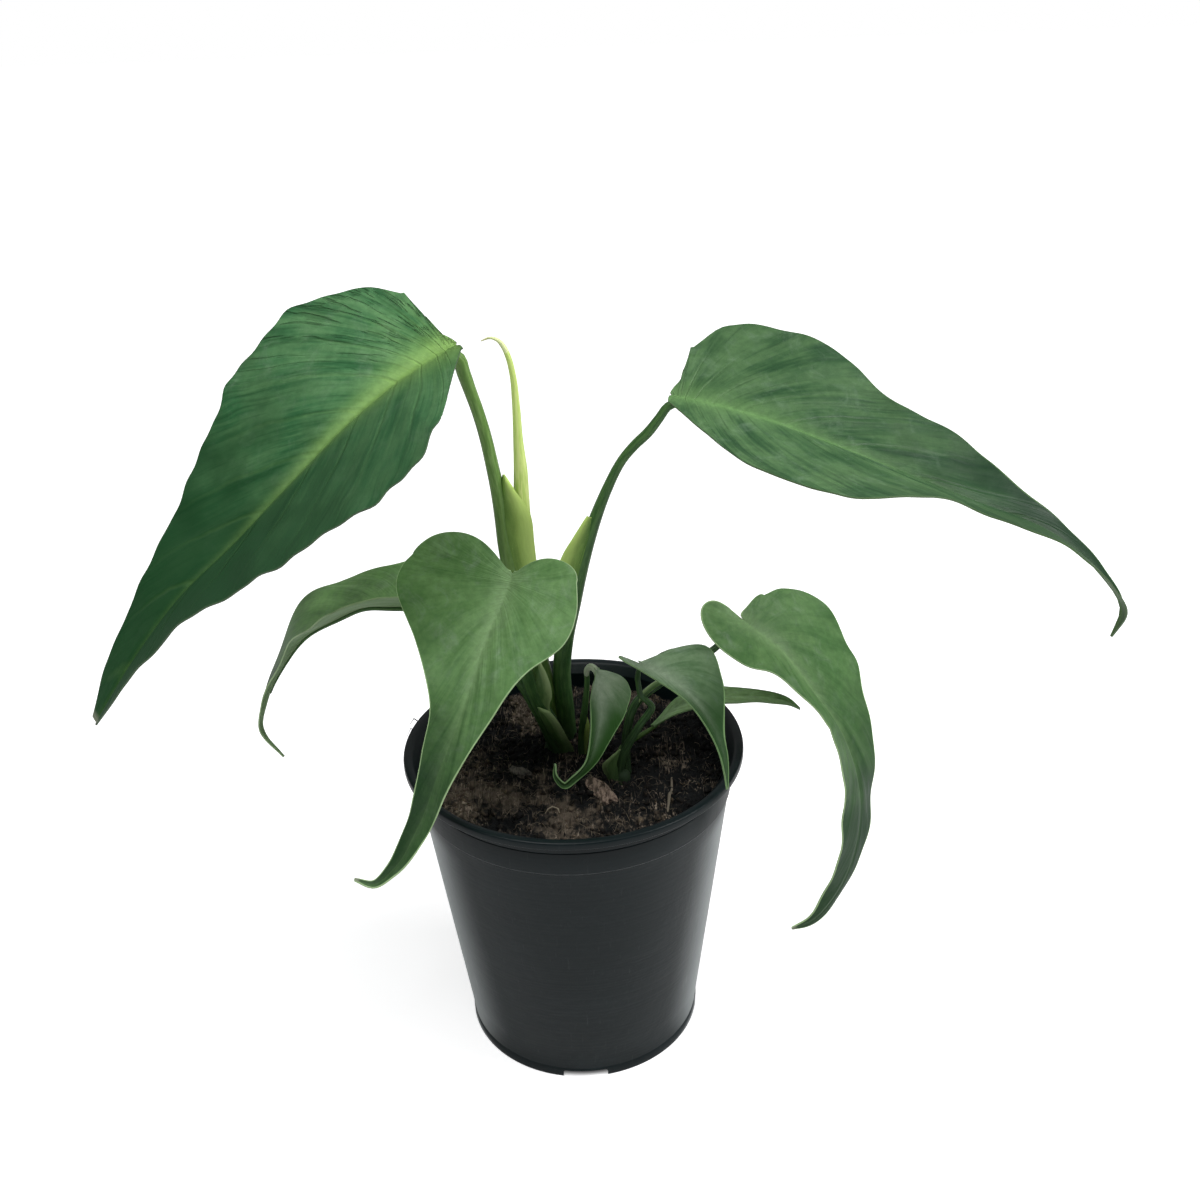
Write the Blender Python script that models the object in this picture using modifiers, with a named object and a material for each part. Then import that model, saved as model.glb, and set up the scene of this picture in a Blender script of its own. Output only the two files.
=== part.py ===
"""A young monstera with arrow-shaped leaves in a round black nursery pot.

Units: the values below are in millimetres and are turned into metres when a mesh is made.
Frame: origin in the middle of the pot's base, on the surface it stands on; +Z is up and -Y is the front.

The pot is a turned shell with a rolled lip, a shoulder band, a foot ring with drain notches and drain holes.
Potting mix fills it to 10 mm under the rim. Two shoots grow in it. The main shoot carries the leaves 1 to 4
and the rolled new leaf, the second one the leaves 5, 6 and 8, and the smallest leaf 7 has its own stalk.
"""
import math

import bmesh
import bpy
import numpy as np
from mathutils import Vector

MM = 0.001                      # one millimetre in Blender's metres
GAP = 0.3                       # clearance between neighbouring pieces
SEAT = 0.35                     # clearance under a loose piece, which lies on a faceted surface
WELD = 0.00001                  # vertices nearer than this, in metres, are one
TURN_STEPS = 48                 # sides of the turned shapes

# ---------------------------------------------------------------- pot
RIM_RADIUS = 65.0
RIM_WIDTH = 3.0                 # flat top of the rim
RIM_TOP = 127.0
LIP_HEIGHT = 3.0
SHOULDER_RADIUS = 60.3          # outside of the band under the rim
SHOULDER_BOTTOM = 109.5
SHOULDER_STEP = 0.6
FOOT_RADIUS = 47.0
FOOT_HEIGHT = 3.5
FOOT_INSET = 0.7                # the wall above the foot ring stands back by this
WALL = 1.3
FOOT_WIDTH = 2.3
DISC_RADIUS = 16.0              # the middle of the base comes down to the standing surface
DISC_SLOPE = 6.0
DRAIN_HOLE_RADIUS = 4.5
DRAIN_CIRCLE = 34.0
DRAIN_COUNT = 4
NOTCH_WIDTH = 17.0              # the foot ring's notches, one at each drain hole
NOTCH_HEIGHT = 3.0

# ---------------------------------------------------------------- potting mix
SOIL_MIDDLE = 118.0
SOIL_MOUND = 30.0               # inside this radius the mix is almost level
SOIL_EDGE = 116.5

# ---------------------------------------------------------------- leaves
BLADE_THICKNESS = 0.8
STATIONS = (0, .06, .14, .25, .4, .55, .7, .82, .92, 1)    # shares of the midrib, where widths are given
LOBE_SHARE = 0.25               # share of the veins that serves the two basal lobes
LOBE_START = 0.8                # the margins start this far from the stalk
SWEEP_REACH = 5                 # a swept base margin leaves the stalk over this distance
FIRST_VEINS = 0.02              # share of the midrib that the basal veins spring from

# For each leaf: the midrib from just behind the stalk to the tip, the way its upper face looks along it, the
# depth of the two basal lobes, how far a base margin is swept towards the tip, the half widths at STATIONS,
# and the angle at which each half rises from the midrib, at the shares fold_at. Left and right are as seen
# from above, looking along the midrib to the tip.
LEAVES = {
    "leaf_1": dict(
        rib=[(-25, 4, 287), (-33, 0, 285), (-45, -6, 280), (-67, -16, 266), (-87, -25, 249), (-108, -33, 230),
             (-127, -40, 214), (-145, -45, 193), (-160, -48, 172)],
        faces=[(-.4, -.35, 1), (-.6, -.45, 1), (-.9, -.5, .6)], lobes=(1, 1), sweep=(0, 3),
        left=(4, 17, 40, 54, 45, 33, 18, 11, 6, 2), right=(32, 45, 55, 57, 50, 36, 22, 15, 10, 3),
        fold_at=(0, .15, .5, 1), left_fold=(-10, 5, 8, 10), right_fold=(16, 15, 14, 12), grid=(16, 8)),
    "leaf_2": dict(
        rib=[(31, 1, 266), (39, 0, 265), (55, -4, 262), (71, -9, 258), (102, -18, 247), (134, -27, 235),
             (165, -34, 222), (179, -38, 210), (187, -40, 197), (185, -40, 187)],
        faces=[(.2, -.3, 1), (.4, -.3, 1), (.9, -.4, .5)], lobes=(1, 1), sweep=(3, 0),
        left=(23, 39.5, 44, 43.5, 31, 27, 10, 5, 2, .6), right=(6, 16, 30, 47, 48, 20, 18, 15, 7, .6),
        fold_at=(0, .25, .5, 1), left_fold=(12, 12, 10, 10), right_fold=(0, 12, 22, 24), grid=(16, 8)),
    "leaf_3": dict(
        rib=[(-16, -15, 216), (-18, -20, 209), (-29, -38, 188), (-35, -48, 174), (-43, -56, 157),
             (-54, -62, 132), (-63, -66, 119), (-69, -68, 115), (-75, -70, 119)],
        faces=[(-.3, -.8, .8), (-.3, -.8, .5), (-.5, -.8, .1), (-.4, -.3, .8)], lobes=(7, 12),
        left=(25, 28, 28, 19, 11, 7, 5, 4, 2, .6), right=(37, 39, 38, 24, 12, 8, 5, 4, 2, .6),
        fold_at=(0, 1), left_fold=(5, 5), right_fold=(5, 5), grid=(16, 8)),
    "leaf_4": dict(
        rib=[(-40, 10, 181), (-46, 12, 181), (-66, 16, 180), (-78, 20, 178), (-89, 23, 172), (-103, 26, 163),
             (-114, 28, 149), (-123, 29, 132), (-126, 28, 120), (-118, 24, 109)],
        faces=[(0, -.1, 1), (-.3, -.1, 1), (-.8, -.1, .5), (-1, -.1, 0)], lobes=(8, 8),
        left=(12, 16, 20, 23, 17, 7, 4, 3, 2, .6), right=(22, 28, 31, 24, 25, 27, 13, 7, 3, .6),
        fold_at=(0, .14, .25, 1), left_fold=(45, 42, 28, 28), right_fold=(8, 6, 5, 5), grid=(16, 8)),
    "leaf_5": dict(
        rib=[(60, 12, 178), (66, 10, 172), (79, 6, 162), (91, 0, 147), (103, -8, 129), (108, -16, 111),
             (106, -24, 89), (98, -30, 72), (88, -34, 63), (81, -36, 62)],
        faces=[(.4, -.4, .8), (.7, -.5, .5), (.9, -.6, 0), (.6, -.8, -.2)], lobes=(1, 16), sweep=(2, 0),
        left=(17, 28.5, 36, 31, 21, 14, 8, 5, 3, .6), right=(20, 21, 17, 16, 18, 15, 13, 9, 4, .6),
        fold_at=(0, .15, .35, .55, 1), left_fold=(0, 0, 0, 0, 0), right_fold=(0, 15, 30, 0, -20), grid=(16, 8)),
    "leaf_6": dict(
        rib=[(21, -12, 170), (26, -12, 167), (34, -14, 163), (44, -20, 157), (50, -28, 151), (54, -36, 143),
             (55, -43, 132)],
        faces=[(.1, -.4, 1), (.3, -.6, .8), (.7, -.7, .2)], lobes=(1, 9),
        left=(1, 5, 12, 19, 13.5, 7, 2.5, 1.5, 1, .5), right=(4.4, 4.7, 5, 4.7, 4, 3.5, 3, 2.5, 1.5, .5),
        fold_at=(0, 1), left_fold=(10, 10), right_fold=(20, 20), grid=(12, 6)),
    "leaf_7": dict(
        rib=[(9, -10, 168), (10, -14, 166), (11, -20, 160), (11, -26, 154), (9, -30, 146), (6, -33, 139),
             (1, -35, 134), (-3, -36, 131), (-6, -36, 135), (-6, -35, 140)],
        faces=[(.1, -.6, .8), (.3, -.8, .3), (.3, -.8, -.3), (-.5, -.3, .9)], lobes=(1, 1),
        left=(1.2, 8, 11, 9.5, 6, 4, 2.3, 1.1, .8, .4), right=(.5, 1.5, 3.5, 4.8, 4, 3, 2, 1.5, 1, .4),
        fold_at=(0, 1), left_fold=(5, 5), right_fold=(20, 20), grid=(12, 6)),
    "leaf_8": dict(
        rib=[(28, -1, 131), (31, 2, 132), (41, 4, 139), (51, 6, 141), (63, 8, 140), (74, 8, 139), (84, 8, 136),
             (88, 8, 133)],
        faces=[(-.3, -.1, 1), (0, -.1, 1), (.3, -.1, 1)], lobes=(.5, .5),
        left=(1, 1.5, 3, 4.5, 5.5, 4.5, 3.5, 3, 2, .5), right=(1, 3, 5, 7, 7, 6.5, 5, 4.5, 2.5, .5),
        fold_at=(0, 1), left_fold=(10, 10), right_fold=(10, 10), grid=(12, 6)),
}

# ---------------------------------------------------------------- stems and stalks
# For each: the points that its middle runs through, from the bottom to the top, and its radius at each. The
# thick lower part of a stalk is its sheath, which wraps the next stalk. A stalk with a leaf gets one more
# point, just under the place where its blade starts, and ends there with the radius END.
STALKS = {
    "stem_main": dict(
        path=[(-7, 10.3, 107), (-7, 10.3, 113), (-7, 10.3, 119), (-7, 10.3, 122)], radius=(7, 7, 7, 8)),
    "petiole_1": dict(
        path=[(-8, 15, 122.4), (-8, 15, 125), (-9, 14.8, 132), (-12, 13.5, 150), (-15, 12, 175),
              (-17, 10, 193), (-17.4, 8.6, 206), (-20.3, 7, 217), (-23, 6.2, 229), (-25, 5, 243),
              (-28.5, 2.6, 260), (-31, 1.2, 272)],
        radius=(3.4, 3.5, 3.9, 4.8, 5.4, 5.6, 4.8, 3, 2.1, 1.9, 1.7, 1.5), leaf="leaf_1", end=1.3),
    "new_leaf": dict(
        path=[(-14.2, 7.4, 214.6), (-14.1, 7, 222), (-14, 6.4, 235), (-14.4, 5.6, 248), (-15, 5, 260),
              (-15.6, 4.4, 271), (-17, 4, 280), (-20, 4, 284.4), (-24, 4, 284)],
        radius=(1.4, 1.9, 2.2, 2, 1.7, 1.4, 1.1, .8, .4)),
    "petiole_2": dict(
        path=[(-1.6, 10.5, 122.4), (-1.6, 10.5, 125), (-2, 10.5, 138), (-1.4, 10, 155), (1.4, 10, 172),
              (4.4, 10, 187), (8, 9, 203), (13, 8, 218), (18, 6.4, 231), (25, 4, 243.5), (33, 1.6, 254)],
        radius=(3.6, 3.8, 4, 4, 4, 3.8, 3.2, 2.3, 1.8, 1.6, 1.5), leaf="leaf_2", end=1.3),
    "petiole_3": dict(
        path=[(-7.2, 4.6, 122.4), (-7.2, 4.6, 125), (-9.5, 3.8, 131), (-13.6, 1.6, 141), (-16.6, -1, 152),
              (-17.8, -5, 170), (-17.8, -10, 187), (-17.4, -15, 200)],
        radius=(2.6, 2.7, 3, 3, 2.6, 2.1, 1.7, 1.5), leaf="leaf_3", end=1.2),
    "petiole_4": dict(
        path=[(-12.4, 9.6, 122.4), (-12.4, 9.6, 125), (-14, 8.6, 132), (-17, 7.2, 142), (-22, 7, 156),
              (-29, 8, 168), (-37, 10, 175.6)],
        radius=(2, 2.1, 2.4, 2.4, 2, 1.6, 1.3), leaf="leaf_4", end=1.1),
    "petiole_7": dict(
        path=[(3, 2, 108), (3, 2, 114), (3, 2, 119.5), (3.6, 0, 132), (5.4, -4.6, 146), (8, -9.4, 157)],
        radius=(1.6, 1.6, 1.6, 1.2, 1, .9), leaf="leaf_7", end=.8),
    "stem_second": dict(
        path=[(18, -14, 108), (18, -14, 113), (18, -14, 119), (18, -14, 123)], radius=(4, 4, 4, 4.3)),
    "petiole_6": dict(
        path=[(16.2, -16, 123.4), (16.2, -16, 124.8), (17.8, -15.2, 127.4), (21, -13.8, 130.5),
              (25.4, -11.2, 135), (28.4, -9.4, 140), (29.6, -8.6, 145), (27.4, -9, 150), (25.2, -10, 156)],
        radius=(1.6, 1.6, 1.6, 1.6, 1.6, 1.6, 1.4, 1.2, 1), leaf="leaf_6", end=.8),
    "petiole_5": dict(
        path=[(20.2, -12, 123.4), (20.2, -12, 124.8), (19.8, -10.2, 129), (20.4, -7.4, 135), (24, -4, 145),
              (33, 0, 151), (45, 4, 156.6), (57, 8, 163)],
        radius=(1.7, 1.7, 1.7, 1.6, 1.5, 1.4, 1.3, 1.2), leaf="leaf_5", end=1),
    "petiole_8": dict(
        path=[(16.4, -11.6, 123.4), (16.4, -11.6, 124.2), (17.4, -8.6, 126.2), (20.6, -4, 127.6),
              (25, -.6, 128.8)],
        radius=(1.2, 1.2, 1.2, 1.1, 1), leaf="leaf_8", end=.8),
}
STANDING = ("stem_main", "petiole_7", "stem_second")       # these stand in sockets in the potting mix
SOCKET_TOP = 130.0

# ---------------------------------------------------------------- loose bits on the potting mix
CHIPS = {                        # middle, length, width and height, turn about Z
    "bark_chip_1": ((10, -25.5), (16, 6, 3), -60),
    "bark_chip_2": ((-21, -8), (8, 5, 2.4), -35),
}
TWIG = dict(start=(37, -12), end=(34, -36), radius=.7)

COLOURS = {                      # base colour, roughness
    "pot": ((.018, .022, .024), .42),
    "soil": ((.030, .020, .013), .95),
    "leaf": ((.060, .150, .055), .40),
    "new_leaf": ((.420, .520, .120), .45),
    "stalk": ((.080, .160, .050), .45),
    "bark": ((.110, .060, .030), .85),
}


# ================================================================ helpers
def clear_scene():
    for item in list(bpy.data.objects):
        bpy.data.objects.remove(item)


def new_collection(name):
    group = bpy.data.collections.new(name)
    bpy.context.scene.collection.children.link(group)
    return group


def plain_material(name, kind):
    colour, roughness = COLOURS[kind]
    material = bpy.data.materials.new(name)
    material.use_nodes = True
    shader = material.node_tree.nodes["Principled BSDF"]
    shader.inputs["Base Color"].default_value = (*colour, 1)
    shader.inputs["Roughness"].default_value = roughness
    shader.inputs["Metallic"].default_value = 0
    return material


def make_part(name, mesh, kind, group):
    mesh.materials.append(plain_material(name, kind))
    part = bpy.data.objects.new(name, mesh)
    group.objects.link(part)
    return part


def make_cutter(name, mesh, group):
    cutter = bpy.data.objects.new(name, mesh)
    group.objects.link(cutter)
    cutter.hide_render = True
    cutter.display_type = "WIRE"
    return cutter


def cut(part, cutter):
    modifier = part.modifiers.new(cutter.name, "BOOLEAN")
    modifier.operation = "DIFFERENCE"
    modifier.solver = "EXACT"
    modifier.object = cutter


def finished_mesh(bm, name):
    mesh = bpy.data.meshes.new(name)
    bm.to_mesh(mesh)
    bm.free()
    return mesh


def cylinder(name, radius, bottom, top, at=(0, 0), sides=20):
    bm = bmesh.new()
    bmesh.ops.create_cone(bm, cap_ends=True, segments=sides, radius1=radius * MM, radius2=radius * MM,
                          depth=(top - bottom) * MM)
    bmesh.ops.translate(bm, verts=bm.verts, vec=Vector((*at, (bottom + top) / 2)) * MM)
    return finished_mesh(bm, name)


def smooth_through(places, values, at):
    """Values on a smooth line through the given values, which goes straight on past its ends."""
    places = np.asarray(places, float)
    values = np.asarray(values, float).reshape(len(places), -1)
    step = np.diff(places)[:, None]
    slope = np.diff(values, axis=0) / step
    inner = (slope[:-1] * step[1:] + slope[1:] * step[:-1]) / (step[:-1] + step[1:])
    tangent = np.vstack([slope[:1], inner, slope[-1:]])
    at = np.atleast_1d(np.asarray(at, float))
    i = np.clip(np.searchsorted(places, at, side="right") - 1, 0, len(places) - 2)
    h = step[i]
    t = np.clip((at - places[i])[:, None] / h, 0, 1)
    line = ((2 * t**3 - 3 * t**2 + 1) * values[i] + (t**3 - 2 * t**2 + t) * h * tangent[i]
            + (3 * t**2 - 2 * t**3) * values[i + 1] + (t**3 - t**2) * h * tangent[i + 1])
    before = np.minimum(at - places[0], 0)[:, None] * tangent[0]
    after = np.maximum(at - places[-1], 0)[:, None] * tangent[-1]
    return line + before + after


def unit(rows):
    return rows / np.linalg.norm(rows, axis=-1, keepdims=True)


# ================================================================ pot and potting mix
def turned(name, profile, kind, group):
    """A solid of revolution about Z: its profile of radii and heights starts and ends on the axis."""
    mesh = bpy.data.meshes.new(name)
    corners = [Vector((radius, 0, height)) * MM for radius, height in profile]
    mesh.from_pydata(corners, [(i, i + 1) for i in range(len(corners) - 1)], [])
    part = make_part(name, mesh, kind, group)
    screw = part.modifiers.new("turn", "SCREW")
    screw.steps = TURN_STEPS
    screw.render_steps = TURN_STEPS
    screw.use_merge_vertices = True
    screw.merge_threshold = WELD
    weld = part.modifiers.new("close the middle", "WELD")
    weld.merge_threshold = WELD
    return part


def wall_radius(height):
    """Outside of the tapered wall under the shoulder band."""
    share = (height - FOOT_HEIGHT) / (SHOULDER_BOTTOM - FOOT_HEIGHT)
    low = FOOT_RADIUS - FOOT_INSET
    return low + share * (SHOULDER_RADIUS - SHOULDER_STEP - low)


def pot_profile():
    floor = FOOT_HEIGHT + WALL
    lip_bottom = RIM_TOP - LIP_HEIGHT
    rim_inside = RIM_RADIUS - RIM_WIDTH
    inside = [(0, WALL), (DISC_RADIUS, WALL), (DISC_RADIUS + DISC_SLOPE, floor),
              (wall_radius(floor) - WALL, floor), (wall_radius(SHOULDER_BOTTOM) - WALL, SHOULDER_BOTTOM),
              (SHOULDER_RADIUS - WALL, lip_bottom - 1)]
    rim = [(rim_inside - .6, RIM_TOP - 1), (rim_inside, RIM_TOP), (RIM_RADIUS - .6, RIM_TOP),
           (RIM_RADIUS, RIM_TOP - .6), (RIM_RADIUS, lip_bottom), (RIM_RADIUS - 1.2, lip_bottom - .2),
           (RIM_RADIUS - 1.6, RIM_TOP - 1.4), (SHOULDER_RADIUS + .4, RIM_TOP - 1.8)]
    outside = [(SHOULDER_RADIUS, lip_bottom), (SHOULDER_RADIUS, SHOULDER_BOTTOM + .5),
               (wall_radius(SHOULDER_BOTTOM), SHOULDER_BOTTOM), (wall_radius(FOOT_HEIGHT), FOOT_HEIGHT),
               (FOOT_RADIUS, FOOT_HEIGHT - .5), (FOOT_RADIUS, 0)]
    base = [(FOOT_RADIUS - FOOT_WIDTH, 0), (FOOT_RADIUS - FOOT_WIDTH - .2, FOOT_HEIGHT),
            (DISC_RADIUS + DISC_SLOPE, FOOT_HEIGHT), (DISC_RADIUS, 0), (0, 0)]
    return inside + rim + outside + base


def build_pot(group, cutters):
    pot = turned("pot", pot_profile(), "pot", group)
    for number in range(DRAIN_COUNT):
        angle = 2 * math.pi * number / DRAIN_COUNT - math.pi / 2
        outward = Vector((math.cos(angle), math.sin(angle), 0))
        bm = bmesh.new()
        bmesh.ops.create_cube(bm, size=1)
        bmesh.ops.scale(bm, verts=bm.verts, vec=Vector((4 * FOOT_WIDTH, NOTCH_WIDTH, 2 * NOTCH_HEIGHT)) * MM)
        notch = make_cutter(f"notch_cutter_{number + 1}", finished_mesh(bm, "notch"), cutters)
        notch.location = outward * FOOT_RADIUS * MM
        notch.rotation_euler.z = angle
        cut(pot, notch)
        hole = cylinder("drain_hole", DRAIN_HOLE_RADIUS, -FOOT_HEIGHT, 3 * FOOT_HEIGHT)
        drain = make_cutter(f"drain_cutter_{number + 1}", hole, cutters)
        drain.location = outward * DRAIN_CIRCLE * MM
        cut(pot, drain)


def build_soil(group, cutters):
    floor = FOOT_HEIGHT + WALL

    def inside_radius(height):
        return wall_radius(height) - WALL - GAP

    profile = [(0, SOIL_MIDDLE), (SOIL_MOUND, SOIL_MIDDLE - .5), (inside_radius(SHOULDER_BOTTOM), SOIL_EDGE),
               (inside_radius(SHOULDER_BOTTOM), SHOULDER_BOTTOM),
               (inside_radius(floor + GAP), floor + GAP), (DISC_RADIUS + DISC_SLOPE, floor + GAP),
               (DISC_RADIUS, WALL + GAP), (0, WALL + GAP)]
    soil = turned("soil", profile, "soil", group)
    for name in STANDING:
        stalk = STALKS[name]
        x, y, bottom = stalk["path"][0]
        socket = cylinder("socket", max(stalk["radius"][:3]) + GAP, bottom - GAP, SOCKET_TOP, (x, y))
        cut(soil, make_cutter(f"socket_for_{name}", socket, cutters))


# ================================================================ leaves
class Blade:
    """A leaf blade as a surface: x runs across from the midrib, y along it, both in millimetres."""

    def __init__(self, leaf):
        rib = np.array(leaf["rib"], float)
        steps = np.linalg.norm(np.diff(rib, axis=0), axis=1)
        self.rib = rib
        self.rib_at = np.concatenate([[0], np.cumsum(steps)]) - steps[0]
        self.length = self.rib_at[-1]
        self.faces = np.array(leaf["faces"], float)
        self.lobes = leaf["lobes"]
        self.sweep = leaf.get("sweep", (0, 0))
        self.widths = (leaf["left"], leaf["right"])
        self.fold_at = leaf["fold_at"]
        self.folds = (leaf["left_fold"], leaf["right_fold"])

    def frame(self, y):
        """Points of the midrib, and the directions along it, to its right and out of its upper face."""
        y = np.atleast_1d(np.asarray(y, float))
        reach = .01 * self.length
        middle = smooth_through(self.rib_at, self.rib, y)
        along = unit(smooth_through(self.rib_at, self.rib, y + reach)
                     - smooth_through(self.rib_at, self.rib, y - reach))
        share = np.linspace(0, self.length, len(self.faces))
        face = smooth_through(share, self.faces, np.clip(y, 0, self.length))
        across = unit(np.cross(along, face))
        return middle, along, across, np.cross(across, along)

    def points(self, x, y):
        """The blade's points in space: each half rises from the midrib at its own fold angle."""
        middle, _, across, face = self.frame(y)
        share = np.clip(y / self.length, 0, 1)
        left, right = (np.interp(share, self.fold_at, angles) for angles in self.folds)
        fold = np.radians(np.where(x < 0, left, right))
        return middle + across * (x * np.cos(fold))[:, None] + face * (np.abs(x) * np.sin(fold))[:, None]

    def vein_end(self, side, row, rows):
        """Where a vein meets the margin, and how far up the midrib it starts."""
        widths = self.widths[side]
        lobe_rows = round(rows * LOBE_SHARE)
        if row < lobe_rows:
            turn = row / lobe_rows
            x = max(widths[0] / 2 * (1 - math.cos(math.pi * turn)), LOBE_START)
            y = min(-self.lobes[side] * math.sin(math.pi * turn), -LOBE_START)
            y += self.sweep[side] * (1 - math.exp(-(x / SWEEP_REACH)**2))
            return x, y, FIRST_VEINS * self.length * turn
        share = (row - lobe_rows) / (rows - lobe_rows)
        y = share * self.length + self.sweep[side] * (1 - share)**8
        x = smooth_through(STATIONS, widths, share)[0, 0]
        return x, y, FIRST_VEINS * self.length + (1 - FIRST_VEINS) * y * (.55 + .45 * share)

    def plan(self, row, rows, column, columns):
        """The blade laid flat: each row is a pair of veins that sweep out from the midrib to the margins."""
        half = columns // 2
        side = int(column > half)
        x_end, y_end, start = self.vein_end(side, row, rows)
        t = abs(column - half) / half
        y_bend = start + .3 * (y_end - start)
        y = (1 - t)**2 * start + 2 * t * (1 - t) * y_bend + t * t * y_end
        return (t * x_end if side else -t * x_end), y


def build_leaf(name, leaf, group):
    blade = Blade(leaf)
    rows, columns = leaf["grid"]
    bm = bmesh.new()
    bmesh.ops.create_grid(bm, x_segments=columns, y_segments=rows, size=1)
    for vert in bm.verts:
        column = round((vert.co.x + 1) / 2 * columns)
        row = round((vert.co.y + 1) / 2 * rows)
        x, y = blade.plan(row, rows, column, columns)
        vert.co = blade.points(np.array([x]), np.array([y]))[0] * MM
    mesh = finished_mesh(bm, name)
    mesh.shade_smooth()
    part = make_part(name, mesh, "leaf", group)
    solidify = part.modifiers.new("thickness", "SOLIDIFY")
    solidify.thickness = BLADE_THICKNESS * MM
    solidify.offset = 0


# ================================================================ stems and stalks
def seat_under(leaf, last, end_radius):
    """The point just under a blade's start, so that a stalk's end there clears the blade by GAP."""
    middle, _, _, face = Blade(leaf).frame(0)
    lean = unit(middle[0] - np.array(last)) @ face[0]
    droop = math.radians(max(0, -min(leaf["left_fold"][0], leaf["right_fold"][0])))
    drop = BLADE_THICKNESS / 2 + GAP + end_radius * (math.sqrt(max(1 - lean**2, 0)) + math.sin(droop))
    return tuple(middle[0] - face[0] * drop)


def build_stalk(name, stalk, group):
    path = list(stalk["path"])
    radii = list(stalk["radius"])
    if "leaf" in stalk:
        path.append(seat_under(LEAVES[stalk["leaf"]], path[-1], stalk["end"]))
        radii.append(stalk["end"])
    curve = bpy.data.curves.new(name, "CURVE")
    curve.dimensions = "3D"
    curve.bevel_depth = MM
    curve.bevel_resolution = 2
    curve.resolution_u = 3
    curve.use_fill_caps = True
    spline = curve.splines.new("BEZIER")
    spline.bezier_points.add(len(path) - 1)
    for point, place, radius in zip(spline.bezier_points, path, radii):
        point.co = Vector(place) * MM
        point.radius = radius
        point.handle_left_type = "AUTO"
        point.handle_right_type = "AUTO"
    guide = bpy.data.objects.new(name + "_curve", curve)
    group.objects.link(guide)
    bpy.context.view_layer.update()
    mesh = bpy.data.meshes.new_from_object(guide.evaluated_get(bpy.context.evaluated_depsgraph_get()))
    bpy.data.objects.remove(guide)
    bm = bmesh.new()
    bm.from_mesh(mesh)
    bmesh.ops.remove_doubles(bm, verts=bm.verts, dist=WELD)
    bm.to_mesh(mesh)
    bm.free()
    mesh.materials.clear()
    mesh.shade_smooth()
    make_part(name, mesh, "new_leaf" if name == "new_leaf" else "stalk", group)


# ================================================================ loose bits
def soil_height(x, y):
    """The top of the potting mix, as its profile has it."""
    edge = wall_radius(SHOULDER_BOTTOM) - WALL - GAP
    return float(np.interp(math.hypot(x, y), (0, SOIL_MOUND, edge), (SOIL_MIDDLE, SOIL_MIDDLE - .5, SOIL_EDGE)))


def build_chip(name, at, size, turn, group):
    bm = bmesh.new()
    bmesh.ops.create_cube(bm, size=1)
    bmesh.ops.scale(bm, verts=bm.verts, vec=Vector(size) * MM)
    top_edges = [edge for edge in bm.edges if all(vert.co.z > 0 for vert in edge.verts)]
    bmesh.ops.bevel(bm, geom=top_edges, offset=size[2] * .3 * MM, segments=1, affect="EDGES")
    part = make_part(name, finished_mesh(bm, name), "bark", group)
    part.location = Vector((*at, soil_height(*at) + size[2] / 2 + SEAT)) * MM
    part.rotation_euler.z = math.radians(turn)


def build_twig(group):
    start, end = Vector(TWIG["start"]), Vector(TWIG["end"])
    middle = (start + end) / 2
    bm = bmesh.new()
    bmesh.ops.create_cone(bm, cap_ends=True, segments=8, radius1=TWIG["radius"] * MM,
                          radius2=TWIG["radius"] * MM, depth=(end - start).length * MM)
    part = make_part("twig", finished_mesh(bm, "twig"), "bark", group)
    height = max(soil_height(*start), soil_height(*middle), soil_height(*end)) + TWIG["radius"] + SEAT
    part.location = Vector((*middle, height)) * MM
    part.rotation_euler = (math.pi / 2, 0, math.atan2(end.y - start.y, end.x - start.x) + math.pi / 2)


def main():
    clear_scene()
    group = new_collection("potted_monstera")
    cutters = new_collection("cutters")
    build_pot(group, cutters)
    build_soil(group, cutters)
    for name, leaf in LEAVES.items():
        build_leaf(name, leaf, group)
    for name, stalk in STALKS.items():
        build_stalk(name, stalk, group)
    for name, (at, size, turn) in CHIPS.items():
        build_chip(name, at, size, turn, group)
    build_twig(group)


main()
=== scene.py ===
# %% [markdown]
# # A young monstera in a nursery pot
# This lesson dresses a plain engineering model of a potted monstera. The frame holds the true sizes: a pot,
# the potting mix, eight leaf blades, their stalks and one rolled new leaf. Each of them is coarse, with flat
# facets and one colour. Piece by piece we build what a close look shows: veins, wavy margins, sheaths, crumbs
# of peat and moulded plastic, and let the new piece stand for its coarse one.

# %% Load the frame
import math
from functools import partialmethod

import bpy
import numpy as np
from mathutils import Matrix, Vector, noise


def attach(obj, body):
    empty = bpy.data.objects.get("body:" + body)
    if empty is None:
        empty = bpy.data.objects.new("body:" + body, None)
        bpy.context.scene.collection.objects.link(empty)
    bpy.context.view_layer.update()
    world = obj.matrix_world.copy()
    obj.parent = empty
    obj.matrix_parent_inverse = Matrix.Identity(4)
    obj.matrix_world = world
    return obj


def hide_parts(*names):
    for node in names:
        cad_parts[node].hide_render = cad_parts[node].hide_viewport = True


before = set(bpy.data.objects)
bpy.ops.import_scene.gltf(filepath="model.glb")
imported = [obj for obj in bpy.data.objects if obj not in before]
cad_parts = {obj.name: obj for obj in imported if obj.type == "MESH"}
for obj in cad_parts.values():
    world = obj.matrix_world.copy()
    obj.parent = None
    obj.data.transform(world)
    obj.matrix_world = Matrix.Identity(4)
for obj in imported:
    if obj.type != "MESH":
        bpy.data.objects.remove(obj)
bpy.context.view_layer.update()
bpy.ops.object.select_all(action="DESELECT")
MM = 0.001
print("frame nodes:", len(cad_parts))

# %% [markdown]
# ## Camera
# Someone stood over the plant and looked down at it with a phone, held a little askew. A lens of 42 mm on a
# full frame sensor, 26.9 degrees below the horizon and turned by 2 degrees, gives that look. The camera comes
# first, so that each later step can be looked at, with the plain view transform, which shows colours as they
# are written.


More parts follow.
